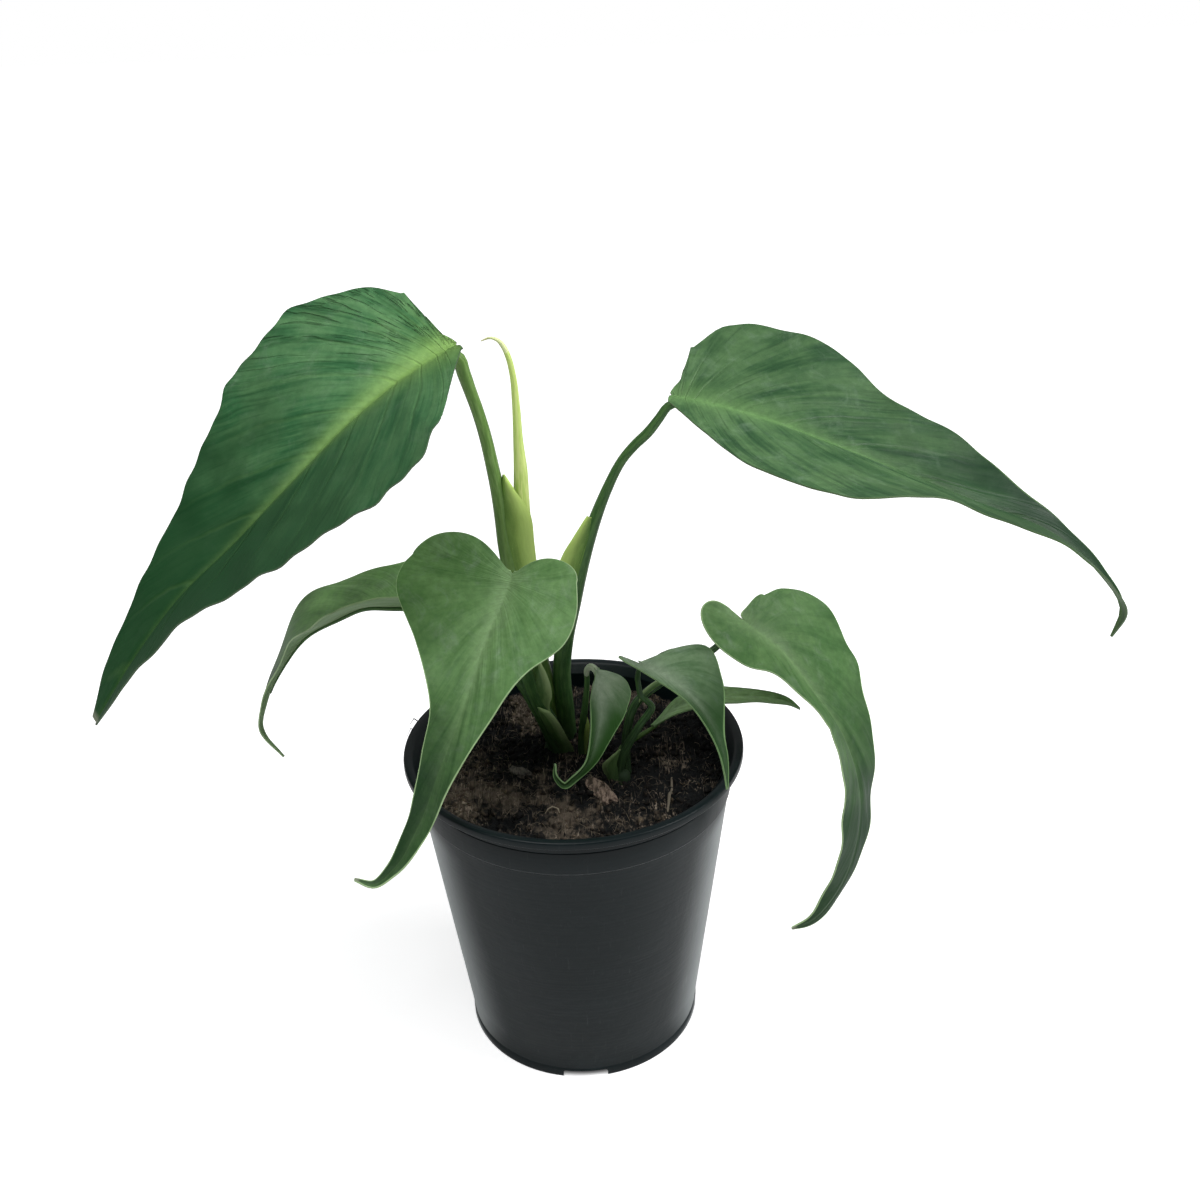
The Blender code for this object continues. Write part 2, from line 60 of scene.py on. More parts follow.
# %% Camera
def placed(name, data):
    """An object with the given data, put in the scene."""
    made = bpy.data.objects.new(name, data)
    bpy.context.scene.collection.objects.link(made)
    return made


LOOK_DOWN, ASKEW = math.radians(26.9), math.radians(-2)
camera_data = bpy.data.cameras.new("camera")
camera_data.lens = 42
camera_data.sensor_width = 36
camera = placed("camera", camera_data)
aim = Matrix.Rotation(math.pi / 2 - LOOK_DOWN, 4, "X") @ Matrix.Rotation(ASKEW, 4, "Z")
camera.matrix_world = Matrix.Translation(Vector((12.1, -455.0, 418.1)) * MM) @ aim
bpy.context.scene.camera = camera
bpy.context.scene.view_settings.view_transform = "Standard"
print("camera height:", round(camera.matrix_world.translation.z, 3))

# %% [markdown]
# ## Small helpers
# A material is a Principled shader with a few plain values and a few patterned ones. A wire is the output of
# a node that is used like a number: each sign in a formula adds the math node that works it out, so a pattern
# reads as its formula. Patterns that several materials use are put in node groups further down.


# %% Node helpers
def feed(made, sources):
    """Sets a node's inputs by name or number: a wire is linked, and anything else is a value."""
    for key, source in sources.items():
        socket = made.inputs[key]
        if isinstance(source, Wire):
            made.id_data.links.new(source.socket, socket)
        else:
            socket.default_value = (*source, 1) if socket.type == "RGBA" else source
    return made


def wire(tree, kind, output, sources=None, **settings):
    """Adds a shader node with its settings and inputs, and gives one of its outputs."""
    made = tree.nodes.new("ShaderNode" + kind)
    for name, value in settings.items():
        setattr(made, name, value)
    return Wire(feed(made, sources or {}).outputs[output])


class Wire:
    """An output of a node, used like a number."""

    def __init__(self, socket):
        self.socket = socket
        self.tree = socket.id_data

    def maths(self, operation, *others):
        return wire(self.tree, "Math", 0, dict(enumerate((self, *others))), operation=operation)

    __add__ = partialmethod(maths, "ADD")
    __sub__ = partialmethod(maths, "SUBTRACT")
    __mul__ = partialmethod(maths, "MULTIPLY")
    __truediv__ = partialmethod(maths, "DIVIDE")
    __pow__ = partialmethod(maths, "POWER")
    __abs__ = partialmethod(maths, "ABSOLUTE")

    def ramp(self, low, high, start=0, end=1):
        """start where the value is under low, end where it is over high, and a soft step between them."""
        return wire(self.tree, "MapRange", "Result", {
            "Value": self, "From Min": low, "From Max": high, "To Min": start, "To Max": end},
            interpolation_type="SMOOTHSTEP")

    def part(self, letter):
        return wire(self.tree, "SeparateXYZ", letter, {"Vector": self})

    def stretched(self, x, y, z, rotation=(0, 0, 0)):
        return wire(self.tree, "Mapping", "Vector", {
            "Vector": self, "Scale": (x, y, z), "Rotation": rotation})

    def distance(self, other=(0, 0, 0)):
        return wire(self.tree, "VectorMath", "Value", {0: self, 1: other}, operation="DISTANCE")


def speckle(where, scale, detail=3, roughness=.55, distortion=0):
    return wire(where.tree, "TexNoise", "Fac", {
        "Vector": where, "Scale": scale, "Detail": detail, "Roughness": roughness, "Distortion": distortion})


def place_on(tree):
    return wire(tree, "TexCoord", "Object")


def new_material(name, colour, roughness, specular=.5):
    material = bpy.data.materials.new(name)
    material.use_nodes = True
    material.diffuse_color = (*colour, 1)
    shader = feed(material.node_tree.nodes["Principled BSDF"], {
        "Base Color": colour, "Roughness": roughness, "Specular IOR Level": specular})
    return material, material.node_tree, shader


# %% [markdown]
# ## Floor, backdrop and light
# The plant stands on a plain white sheet. To the camera both the sheet and what is behind it are white, and
# the sheet keeps the pot's soft shadow. The light is a wide soft lamp above and behind the plant on the right,
# in a pale room that is dimmer behind the camera, which keeps the black plastic dark in the middle.

# %% Floor
bpy.ops.mesh.primitive_plane_add(size=8)
floor = bpy.context.object
floor.name = "floor"
white_sheet, tree, shader = new_material("white sheet", (.82, .82, .83), .9, .1)
from_pot = place_on(tree).distance()
glow = from_pot.ramp(.043, .047, 0, .55) + from_pot.ramp(.4, 1.5, 0, .4)
feed(shader, {"Emission Color": (1, 1, 1),
              "Emission Strength": glow * wire(tree, "LightPath", "Is Camera Ray")})
floor.data.materials.append(white_sheet)
print("floor nodes:", len(tree.nodes))

# %% Room light
room = bpy.data.worlds.new("pale room")
bpy.context.scene.world = room
room.use_nodes = True
direction = wire(room.node_tree, "TexCoord", "Generated")
light = direction.part("Y").ramp(-.3, .6, .06, .26) + direction.part("Z").ramp(.15, .9, 0, .24)
seen = wire(room.node_tree, "LightPath", "Is Camera Ray")
feed(room.node_tree.nodes["Background"], {"Color": (1, 1, 1), "Strength": light.maths("MAXIMUM", seen)})
print("room nodes:", len(room.node_tree.nodes))


# %% Lamps
def soft_lamp(name, place, target, size, watts):
    lamp_data = bpy.data.lights.new(name, "AREA")
    lamp_data.shape = "DISK"
    lamp_data.size = size
    lamp_data.energy = watts
    lamp = placed(name, lamp_data)
    lamp.location = place
    lamp.rotation_euler = (Vector(target) - Vector(place)).to_track_quat("-Z", "Y").to_euler()


soft_lamp("window", (.95, -.15, 1.05), (0, 0, .15), .8, 15)
soft_lamp("ceiling", (-.35, -.60, 1.50), (0, 0, .15), 1.0, 13)

# %% [markdown]
# ## Leaf skin
# A leaf's upper face is a waxy green skin over a net of veins. The midrib is pale and widest at the stalk,
# the side veins leave it at a slant and fade before the margin, and hair-fine veins run between them. All of
# it follows the growth of the blade, so the pattern reads two maps that each blade carries: "veins" counts
# the veins from the base to the tip, and "plan" gives the place on the flat blade in decimetres. Two
# attributes give the distance to the margin in millimetres and the share of the length. One node group holds
# the skin, painted in layers from the ground up, and each leaf places it with its own greens.


# %% Layers and groups
def layers(ground, *coats):
    """Coats of colour over a ground: each coat is a pair of how much it covers, from 0 to 1, and its colour."""
    for share, colour in coats:
        ground = wire(share.tree, "Mix", 2, {0: share, 6: ground, 7: colour}, data_type="RGBA")
    return ground


def new_group(name, inputs):
    """A node group that puts out a colour, a roughness and a height, its inputs as wires, and its end.
    Inputs are given as {name: default value}; a triple is a colour."""
    group = bpy.data.node_groups.new(name, "ShaderNodeTree")
    for direction, sockets in (("INPUT", inputs), ("OUTPUT", {"Color": (.1, .1, .1), "Roughness": .5, "Height": 0})):
        for label, default in sockets.items():
            colour = isinstance(default, tuple)
            socket = group.interface.new_socket(
                label, in_out=direction, socket_type="NodeSocketColor" if colour else "NodeSocketFloat")
            socket.default_value = (*default, 1) if colour else default
    entry = group.nodes.new("NodeGroupInput")
    return group, {label: Wire(entry.outputs[label]) for label in inputs}, group.nodes.new("NodeGroupOutput")


# %% Maps and veins of a blade
def blade_maps(tree):
    """Place from side to side, share across a half, vein count, mm from the midrib, and place on the plan."""
    veins, plan = (wire(tree, "UVMap", "UV", uv_map=name) for name in ("veins", "plan"))
    side = veins.part("X")
    return side, abs(side * 2 - 1), veins.part("Y"), abs(plan.part("X")) * 100, plan


def joined(x, y, z=0):
    return wire(x.tree, "CombineXYZ", "Vector", {"X": x, "Y": y, "Z": z})


def streaked(across, count, length, width, detail=4, distortion=.1):
    """Noise drawn out along the veins: about length patches across a half blade and width along the midrib."""
    return speckle(joined(across * length, count * width), 1, detail, .6, distortion)


SIDE_VEINS = 12


def vein_pattern(across, count, plan):
    """(side veins, fine veins): 1 on a vein, 0 between, and both wander a little."""
    place = count * SIDE_VEINS + (speckle(plan, 5) * .3 - .15)
    from_vein = abs(place.maths("FRACT") - .5)
    return from_vein.ramp(0, .09, 1, 0) * across.ramp(.3, .95, 1, .2), streaked(across, count, 1.6, 80)


# %% Leaf skin group
skin, ask, result = new_group("leaf skin", {
    "Deep": (.03, .10, .03), "Fresh": (.07, .19, .06), "Rib": (.22, .42, .10), "Margin": (.22, .34, .14),
    "Dust": (.20, .30, .20), "Dark": (.006, .028, .010), "Dustiness": .2, "Veins": .4, "Wrinkles": 0,
    "Left shade": 0, "Right shade": 0, "Left tip": .5, "Right tip": .5, "Tip start": .35, "Rib width": 3,
    "Rib glow": .8})
side, across, count, from_rib, plan = blade_maps(skin)
margin, along = (wire(skin, "Attribute", "Fac", attribute_name=name) for name in ("margin", "along"))
side_veins, fine_veins = vein_pattern(across, count, plan)
bands = streaked(across, count, 1.3, 17, 3, .3)
patches = speckle(plan, 5, 3, .5, .4)
mottle = speckle(plan, 38, 4, .65)
# Dust and painted sheen: pale grey-green patches in the Dust colour stand for dust and also for the sheen on the wax.
dusty_sheen = speckle(plan, 11, 5, .7, .8).ramp(.48, .80) * ask["Dustiness"]
rib_width = (along * -1 + 1)**3 * ask["Rib width"] + .9
glow = ((from_rib / rib_width)**1.5 * -1).maths("EXPONENT") * along.ramp(.08, .68, 1, .14)
rays = streaked(across, count, .7, 60, 2, .2).ramp(.40, .70, 0, .28) * plan.distance().ramp(.02, .42, 1, 0)
glow = glow.maths("MAXIMUM", rays * ask["Veins"]) * ask["Rib glow"]
on_right = side.ramp(.47, .53)
shade, tip_shade = (ask["Left " + kind] + (ask["Right " + kind] - ask["Left " + kind]) * on_right
                    for kind in ("shade", "tip"))
creases = (streaked(across, count, 2.6, 52, 2, .6).ramp(.52, .62) * side.ramp(.54, .66)
           * count.ramp(.38, .60, 1, 0) * ask["Wrinkles"])
green = layers(
    ask["Deep"],
    ((bands * .6 + patches * .4).ramp(.40, .60), ask["Fresh"]),
    (bands.ramp(.34, .50, .30, 0) * ask["Veins"], ask["Dark"]),
    (fine_veins.ramp(.45, .70, 0, .6) * ask["Veins"], ask["Fresh"]),
    (fine_veins.ramp(.30, .48, .5, 0) * ask["Veins"], ask["Dark"]),
    (dusty_sheen, ask["Dust"]),
    (tip_shade * (patches * .5 + along - ask["Tip start"]).ramp(.2, .65), ask["Dark"]),
    (side_veins * .06 * ask["Veins"], ask["Rib"]),
    (glow, ask["Rib"]),
    (shade, ask["Dark"]),
    (mottle.ramp(.3, .7, .24, 0), ask["Dark"]),
    # Painted shade: the creases are darkened in colour as well as sunk by the bump.
    (creases * .32, ask["Dark"]),
    (margin.ramp(.06, .24, .8, 0), ask["Margin"]),
    (along.ramp(.982, .996, 0, .6), (.30, .31, .24)))
feed(result, {"Color": green, "Roughness": (mottle + dusty_sheen) * .14 + .24 + bands * .22,
              "Height": side_veins * ask["Veins"] * -.20 + fine_veins * .13 + bands * .45 - creases * .7})
print("leaf skin nodes:", len(skin.nodes))

# %% [markdown]
# ## Leaf undersides
# Underneath, the same blade is paler, more matt, and its veins stand proud. The group is the same idea with
# the light turned round: ribs are raised instead of sunk. Each leaf gets three materials from its own greens:
# one for the upper face, whose gloss is given leaf by leaf, one for the underside and one for the cut margin.

# %% Leaf underside group
under, ask, result = new_group("leaf underside", {"Pale": (.10, .20, .08), "Rib": (.2, .34, .12)})
_, across, count, from_rib, plan = blade_maps(under)
side_veins, fine_veins = vein_pattern(across, count, plan)
pale = layers(ask["Pale"], (fine_veins.ramp(.3, .7, 0, .4), ask["Rib"]), (side_veins * .45, ask["Rib"]),
              (from_rib.ramp(.6, 3, .7, 0), ask["Rib"]))
feed(result, {"Color": pale, "Roughness": fine_veins * .1 + .5, "Height": side_veins * .22 + fine_veins * .08})
print("underside nodes:", len(under.nodes))


# %% Leaf materials
def paint(shader, colour, roughness, height=None, depth=MM):
    """Lets patterns drive a shader. The height, in its own units, tilts the surface: depth is its relief."""
    feed(shader, {"Base Color": colour, "Roughness": roughness})
    if height:
        feed(shader, {"Normal": wire(height.tree, "Bump", "Normal", {
            "Height": height, "Distance": depth, "Strength": 1})})


def group_material(name, group, colour, roughness, specular, **values):
    """A material that a group paints: the input "Rib width" of the group is the value rib_width here."""
    material, tree, shader = new_material(name, colour, roughness, specular)
    made = tree.nodes.new("ShaderNodeGroup")
    made.node_tree = group
    feed(made, {label.replace("_", " ").capitalize(): value for label, value in values.items()})
    paint(shader, *(Wire(made.outputs[label]) for label in ("Color", "Roughness", "Height")))
    return material


def dimmed(colour, share, rest=0):
    return tuple(share * channel + rest for channel in colour)


def leaf_materials(name, fresh, rib, margin, shades=(0, 0), tips=(.5, .5), gloss=.16, **greens):
    upper = group_material(
        name + " upper face", skin, fresh, .38, gloss, fresh=fresh, rib=rib, margin=margin, left_shade=shades[0],
        right_shade=shades[1], left_tip=tips[0], right_tip=tips[1], **greens)
    lower = group_material(name + " underside", under, fresh, .6, .12, pale=dimmed(fresh, .6, .02),
                           rib=dimmed(rib, .6, .01))
    edge, tree, shader = new_material(name + " margin", margin, .5)
    feed(shader, {"Base Color": layers(margin, (speckle(place_on(tree), 90), dimmed(margin, .5)))})
    return upper, lower, edge


# %% [markdown]
# ## Grids, modifiers and finish
# Most pieces of a plant are sheets: a blade, a sheath, even a stalk, which is a sheet rolled round a line. Each
# of them starts as a grid primitive, whose points are then put at worked-out places.


# %% Grids, modifiers and finish
def named(name):
    """The primitive that was just added, under its name."""
    bpy.context.object.name = bpy.context.object.data.name = name
    return bpy.context.object


def new_grid(name, rows, columns):
    """A grid primitive, with the row and column of each of its points."""
    bpy.ops.mesh.primitive_grid_add(x_subdivisions=columns, y_subdivisions=rows, size=2)
    piece = named(name)
    start = np.array([tuple(vertex.co) for vertex in piece.data.vertices])
    return (piece, *(np.round((start[:, axis] + 1) / 2 * count).astype(int)
                     for axis, count in ((1, rows), (0, columns))))


def dress(piece, places, maps, attributes, *materials):
    """Puts the grid's points at their places, and gives it its maps, attributes and materials."""
    mesh = piece.data
    mesh.vertices.foreach_set("co", (places * MM).ravel())
    corner = np.empty(len(mesh.loops), int)
    mesh.loops.foreach_get("vertex_index", corner)
    mesh.uv_layers.remove(mesh.uv_layers[0])
    for title, (u, v) in maps.items():
        mesh.uv_layers.new(name=title).uv.foreach_set("vector", np.stack([u[corner], v[corner]], 1).ravel())
    for title, values in attributes.items():
        mesh.attributes.new(title, "FLOAT", "POINT").data.foreach_set("value", values.astype(float))
    for material in materials:
        mesh.materials.append(material)


def modify(piece, kind, **settings):
    """Adds a modifier with its settings to a piece and applies it."""
    made = piece.modifiers.new(kind.lower(), kind)
    for name, value in settings.items():
        setattr(made, name, value)
    bpy.context.view_layer.objects.active = piece
    bpy.ops.object.modifier_apply(modifier=made.name)


def keep(piece, slot, *cad_nodes, angle=60):
    """Smooths a finished piece, and says where it rides and what it stands for; its slot is not used."""
    bpy.ops.object.select_all(action="DESELECT")
    piece.select_set(True)
    bpy.context.view_layer.objects.active = piece
    bpy.ops.object.shade_smooth_by_angle(angle=math.radians(angle))
    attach(piece, "root")
    if cad_nodes:
        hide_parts(*cad_nodes)
    bpy.ops.object.select_all(action="DESELECT")
    print(piece.name, "faces:", len(piece.data.polygons))


# %% [markdown]
# ## Leaf blades
# A blade is a soft sheet, folded a little along its midrib, that arches under its own weight and ends in a
# long tip. A flat outline bent afterwards loses the way the veins flow, so each blade is grown the way a leaf
# is: a grid primitive whose rows become the veins. A row leaves the midrib, sweeps out and towards the tip,
# and ends on the margin. The midrib itself is a smooth line in space, and each half of the blade rises from
# it at its own angle. The sizes are those of the frame's blades. What the frame leaves out comes on top: the
# groove over the midrib, the pillows between the veins, the waves of the margin, and cheeks, the full corners
# beside the stalk.
#
# A leaf is written as its midrib, the way its face looks at even steps, its half widths and its folds. Two
# lobes reach back past the stalk: squareness rounds them, bay is the width of the notch between them and sinus
# its depth, and sweep draws the corners of the blade forwards. A shoulder widens the left half near its middle.

# %% Smooth lines
def smooth_through(places, values, at):
    """Values on a smooth line through the given values, which goes straight on past its ends."""
    places = np.asarray(places, float)
    values = np.asarray(values, float).reshape(len(places), -1)
    step = np.diff(places)[:, None]
    slope = np.diff(values, axis=0) / step
    inner = (slope[:-1] * step[1:] + slope[1:] * step[:-1]) / (step[:-1] + step[1:])
    tangent = np.vstack([slope[:1], inner, slope[-1:]])
    at = np.atleast_1d(np.asarray(at, float))
    i = np.clip(np.searchsorted(places, at, side="right") - 1, 0, len(places) - 2)
    h = step[i]
    t = np.clip((at - places[i])[:, None] / h, 0, 1)
    line = ((2 * t**3 - 3 * t**2 + 1) * values[i] + (t**3 - 2 * t**2 + t) * h * tangent[i]
            + (3 * t**2 - 2 * t**3) * values[i + 1] + (t**3 - t**2) * h * tangent[i + 1])
    before = np.minimum(at - places[0], 0)[:, None] * tangent[0]
    after = np.maximum(at - places[-1], 0)[:, None] * tangent[-1]
    return line + before + after


def unit(rows):
    return rows / np.linalg.norm(rows, axis=-1, keepdims=True)


def lengths_along(points):
    steps = np.linalg.norm(np.diff(np.asarray(points, float), axis=0), axis=1)
    return np.concatenate([[0], np.cumsum(steps)])


def mound(value, top, width):
    """1 at the top, and softly down to 0 beside it."""
    return np.exp(-((value - top) / width)**2)


# %% Blade outline
LOBE_SHARE = .25            # share of the veins that serves the two basal lobes
FIRST_VEINS = .02           # share of the midrib that the basal veins spring from
SLANT = .08                 # how steeply the veins leave the midrib near the stalk: 1 is straight out
CHEEK_AT = (.03, .022)      # share of the length, and how far it spreads
SHOULDER_AT = (.31, .045)   # the same for the shoulder
SWEEP_REACH, NARROWEST = 5, .8     # mm from the midrib where the sweep sets in, and least reach of a lobe
VEIN_BEND = .3              # how soon a vein turns towards the tip
PLAIN_SHAPE = dict(lobes=(1, 1), sweep=(0, 0), cheeks=(0, 0), squareness=1, bay=.15, sinus=.8, shoulder=0,
                   groove=.9, pillows=.25, waves=(), scallop=0)
STATIONS = (0, .06, .14, .25, .4, .55, .7, .82, .92, 1)    # shares of the midrib, where half widths are given
LEAVES = {}


def rib_marks(leaf):
    """Where the points of the midrib lie along it, in mm from the stalk, whose end is the second of them."""
    marks = lengths_along(leaf["rib"])
    return marks - marks[1]


def midrib_frame(leaf, y):
    """Points of the midrib, and the directions to its right and out of the upper face, y mm from the stalk."""
    rib_at = rib_marks(leaf)
    length = rib_at[-1]
    reach = .01 * length
    along = unit(smooth_through(rib_at, leaf["rib"], y + reach) - smooth_through(rib_at, leaf["rib"], y - reach))
    face = smooth_through(np.linspace(0, length, len(leaf["faces"])), leaf["faces"], np.clip(y, 0, length))
    across = unit(np.cross(along, face))
    return smooth_through(rib_at, leaf["rib"], y), across, np.cross(across, along)


def blade_plan(leaf, row, column, rows, half, length):
    """The flat blade: x across, y along, and the vein's whole reach across, in mm, for each grid point."""
    lobe_rows = round(rows * LOBE_SHARE)
    in_lobe = row < lobe_rows
    turn = row / lobe_rows
    share = np.clip((row - lobe_rows) / (rows - lobe_rows), 0, 1)
    ends, tops = [], []
    for widths, lobe, sweep, cheek, shoulder in zip(
            (leaf["left"], leaf["right"]), leaf["lobes"], leaf["sweep"], leaf["cheeks"], (leaf["shoulder"], 0)):
        lobe_x = np.maximum(widths[0] / 2 * (1 - np.cos(np.pi * np.clip(turn, 0, 1))), NARROWEST)
        lobe_y = -lobe * np.sin(np.pi * np.clip(turn, 0, 1))**leaf["squareness"] * (1 - mound(turn, 0, leaf["bay"]))
        lobe_y = np.minimum(lobe_y, -leaf["sinus"]) + sweep * (1 - mound(lobe_x, 0, SWEEP_REACH))
        side_x = (smooth_through(STATIONS, widths, share)[:, 0] + cheek * mound(share, *CHEEK_AT)
                  + shoulder * mound(share, *SHOULDER_AT))
        ends.append(np.where(in_lobe, lobe_x, side_x))
        tops.append(np.where(in_lobe, lobe_y, share * length + sweep * (1 - share)**8))
    right = column > half
    x_end, y_end = np.where(right, ends[1], ends[0]), np.where(right, tops[1], tops[0])
    start = FIRST_VEINS * length * np.where(in_lobe, turn, 1)
    start = start + np.where(in_lobe, 0, (1 - FIRST_VEINS) * y_end * (SLANT + (1 - SLANT) * share**1.5))
    t = np.abs(column - half) / half
    y_bend = start + VEIN_BEND * (y_end - start)
    y = (1 - t)**2 * start + 2 * t * (1 - t) * y_bend + t * t * y_end
    return np.where(right, 1, -1) * t * x_end, y, t, x_end


# %% Blade relief
GROOVE_FADE = .75     # share of the groove's depth that is gone at the tip
GROOVE_WIDTH = 2.2    # mm that the groove is wider at the stalk than at the tip
LEFT_LAG = 1.3        # how far, in radians, the waves of the left margin run behind those of the right one


def relief(leaf, x, y, t, row, rows, length):
    """How far the skin stands off the plainly folded blade: groove, pillows between veins, wavy margin."""
    share = np.clip(y / length, 0, 1)
    groove = -leaf["groove"] * (1 - GROOVE_FADE * share) * mound(x, 0, GROOVE_WIDTH * (1 - share) + .5)
    pillows = leaf["pillows"] * np.sin(2 * np.pi * SIDE_VEINS * row / rows - np.pi / 2)
    pillows = pillows * np.sin(np.pi * np.clip(t, 0, 1)) * (1 - share) * np.clip(row / rows / LOBE_SHARE - 1, 0, 1)
    waves = np.zeros_like(x)
    for height, wave, phase in leaf["waves"]:
        waves += height * np.sin(2 * np.pi * y / wave + phase + np.where(x < 0, LEFT_LAG, 0))
    return groove + pillows + waves * t**3 * np.sin(np.pi * np.clip(share * .96 + .04, 0, 1))


# %% Blade builder
BLADE_THICKNESS = .55
LONG_RIPPLE, SHORT_RIPPLE = 27, 11     # mm from crest to crest, where the margin runs in and out


def build_blade(number, colours, **shape):
    """Builds a blade and notes its shape for the stalk that carries it."""
    leaf = LEAVES[number] = PLAIN_SHAPE | shape
    rows, half = leaf["grid"]
    blade, row, column = new_grid(f"blade_{number}", rows, 2 * half)
    length = rib_marks(leaf)[-1]
    x, y, t, reach = blade_plan(leaf, row, column, rows, half, length)
    middle, across, face = midrib_frame(leaf, y)
    along = np.clip(y / length, 0, 1)
    at, left, right = np.transpose(leaf["folds"])
    fold = np.radians(np.where(x < 0, np.interp(along, at, left), np.interp(along, at, right)))
    up = np.abs(x) * np.sin(fold) + relief(leaf, x, y, t, row, rows, length)
    ripple = (np.sin(2 * np.pi * y / LONG_RIPPLE + np.where(x < 0, 0, -.3))
              + .5 * np.sin(2 * np.pi * y / SHORT_RIPPLE + 1))
    wide = x * (1 + leaf["scallop"] * ripple * t**3) * np.cos(fold)
    dress(blade, middle + across * wide[:, None] + face * up[:, None],
          {"veins": (column / (2 * half), row / rows), "plan": (x / 100, y / 100)},
          {"margin": (1 - t) * reach, "along": along}, *leaf_materials(f"leaf {number}", **colours))
    modify(blade, "SOLIDIFY", thickness=BLADE_THICKNESS * MM, offset=-.2, material_offset=1,
           material_offset_rim=2)
    keep(blade, "leaf", f"leaf_{number}")


# %% [markdown]
# ## The two large leaves
# Leaf 1 hangs to the left and leaf 2 to the right. Both are narrow hearts about 18 cm long that end in a drip
# tip. Leaf 1 has creases beside the stalk, where the blade was rolled up longest, and a lively margin.

# %% Leaf 1 and leaf 2
# Leaf 1's fresh green is greyer and bluer than the other leaves': a painted cool sheen.
build_blade(
    1, dict(dark=(.007, .050, .013), deep=(.034, .140, .050), fresh=(.112, .260, .104), rib=(.28, .48, .12),
            dust=(.24, .34, .24), dustiness=.3, wrinkles=1, veins=1, margin=(.05, .11, .04), shades=(.50, 0),
            tips=(.95, .92), tip_start=.2, rib_width=8, rib_glow=.85),
    rib=[(-25, 4, 287), (-33, 0, 285), (-45, -6, 280), (-67, -16, 266), (-87, -25, 249), (-108, -33, 230),
         (-127, -40, 214), (-145, -45, 193), (-160, -48, 172)],
    faces=[(-.4, -.35, 1), (-.6, -.45, 1), (-.9, -.5, .6)], sweep=(0, 3), cheeks=(0, 2.2),
    left=(4, 17, 40, 54, 45, 33, 18, 11, 6, 2), right=(32, 45, 55, 57, 50, 36, 22, 15, 10, 3),
    folds=[(0, -10, 16), (.15, 5, 15), (.5, 8, 14), (1, 10, 12)], grid=(150, 36),
    waves=[(.5, 31, .4), (.3, 17, 2.0)], scallop=.024)
build_blade(
    2, dict(deep=(.028, .086, .030), fresh=(.084, .172, .066), rib=(.17, .33, .11), dustiness=.4, veins=.8,
            margin=(.09, .17, .06), shades=(.2, 0), tips=(.95, .55), tip_start=.34, rib_width=5, rib_glow=.7),
    rib=[(31, 1, 266), (39, 0, 265), (55, -4, 262), (71, -9, 258), (102, -18, 247), (134, -27, 235),
         (165, -34, 222), (179, -38, 210), (187, -40, 197), (185, -40, 187)],
    faces=[(.2, -.3, 1), (.4, -.3, 1), (.9, -.4, .5)], sweep=(3, 0), cheeks=(3.4, 0),
    left=(23, 39.5, 44, 43.5, 31, 27, 10, 5, 2, .6), right=(6, 16, 30, 47, 48, 20, 18, 15, 7, .6),
    folds=[(0, 12, 0), (.25, 12, 12), (.5, 10, 22), (1, 10, 24)], grid=(150, 36),
    waves=[(.5, 44, 1.0), (.25, 19, .5)], scallop=.004)

# %% [markdown]
# ## The middle leaves
# Leaf 3 hangs over the front rim, leaf 4 arches away behind it and leaf 5 hangs down outside the pot on the
# right. Their lobes are rounder, their skin is a duller grey-green, and a thin pale line edges the blade.

# %% Leaves 3, 4 and 5
mid_leaf = dict(deep=(.110, .235, .075), fresh=(.155, .300, .105), rib=(.30, .46, .22), dust=(.26, .36, .24),
                dustiness=.5, veins=.28, margin=(.42, .60, .30), tips=(.66, .86), tip_start=.26, rib_width=4.5,
                rib_glow=.55)
build_blade(
    3, mid_leaf,
    rib=[(-16, -15, 216), (-18, -20, 209), (-29, -38, 188), (-35, -48, 174), (-43, -56, 157), (-54, -62, 132),
         (-63, -66, 119), (-69, -68, 115), (-75, -70, 119)],
    faces=[(-.3, -.8, .8), (-.3, -.8, .5), (-.5, -.8, .1), (-.4, -.3, .8)], lobes=(7, 12),
    left=(25, 28, 28, 19, 11, 7, 5, 4, 2, .6), right=(37, 39, 38, 24, 12, 8, 5, 4, 2, .6),
    folds=[(0, 5, 5)], grid=(130, 28), groove=.7, sinus=1, bay=.3, waves=[(.6, 38, .2), (.3, 21, 1.0)])
build_blade(
    4, mid_leaf | dict(deep=(.140, .300, .090), fresh=(.200, .385, .130), tip_start=.4),
    rib=[(-40, 10, 181), (-46, 12, 181), (-66, 16, 180), (-78, 20, 178), (-89, 23, 172), (-103, 26, 163),
         (-114, 28, 149), (-123, 29, 132), (-126, 28, 120), (-118, 24, 109)],
    faces=[(0, -.1, 1), (-.3, -.1, 1), (-.8, -.1, .5), (-1, -.1, 0)], lobes=(8, 8),
    left=(12, 16, 20, 23, 17, 7, 4, 3, 2, .6), right=(22, 28, 31, 24, 25, 27, 13, 7, 3, .6),
    folds=[(0, 45, 8), (.14, 42, 6), (.25, 28, 5), (1, 28, 5)], grid=(130, 24), groove=.6,
    waves=[(.5, 33, .8)])
build_blade(
    5, mid_leaf | dict(deep=(.088, .200, .062), fresh=(.140, .275, .095), shades=(.24, 0), tips=(.9, .9), gloss=.10),
    rib=[(60, 12, 178), (66, 10, 172), (79, 6, 162), (91, 0, 147), (103, -8, 129), (108, -16, 111),
         (106, -24, 89), (98, -30, 72), (88, -34, 63), (81, -36, 62)],
    faces=[(.4, -.4, .8), (.7, -.5, .5), (.9, -.6, 0), (.6, -.8, -.2)],
    lobes=(3.5, 16), sweep=(2, 0), cheeks=(1.2, 0),
    left=(17, 28.5, 36, 31, 21, 14, 8, 5, 3, .6), right=(20, 21, 17, 16, 18, 15, 13, 9, 4, .6),
    folds=[(0, 0, 0), (.15, 0, 15), (.35, 0, 30), (.55, 0, 0), (1, 0, -20)], grid=(130, 26),
    groove=.7, squareness=.8, bay=.08, shoulder=5, waves=[(.8, 36, 1.4), (.4, 19, .3)])

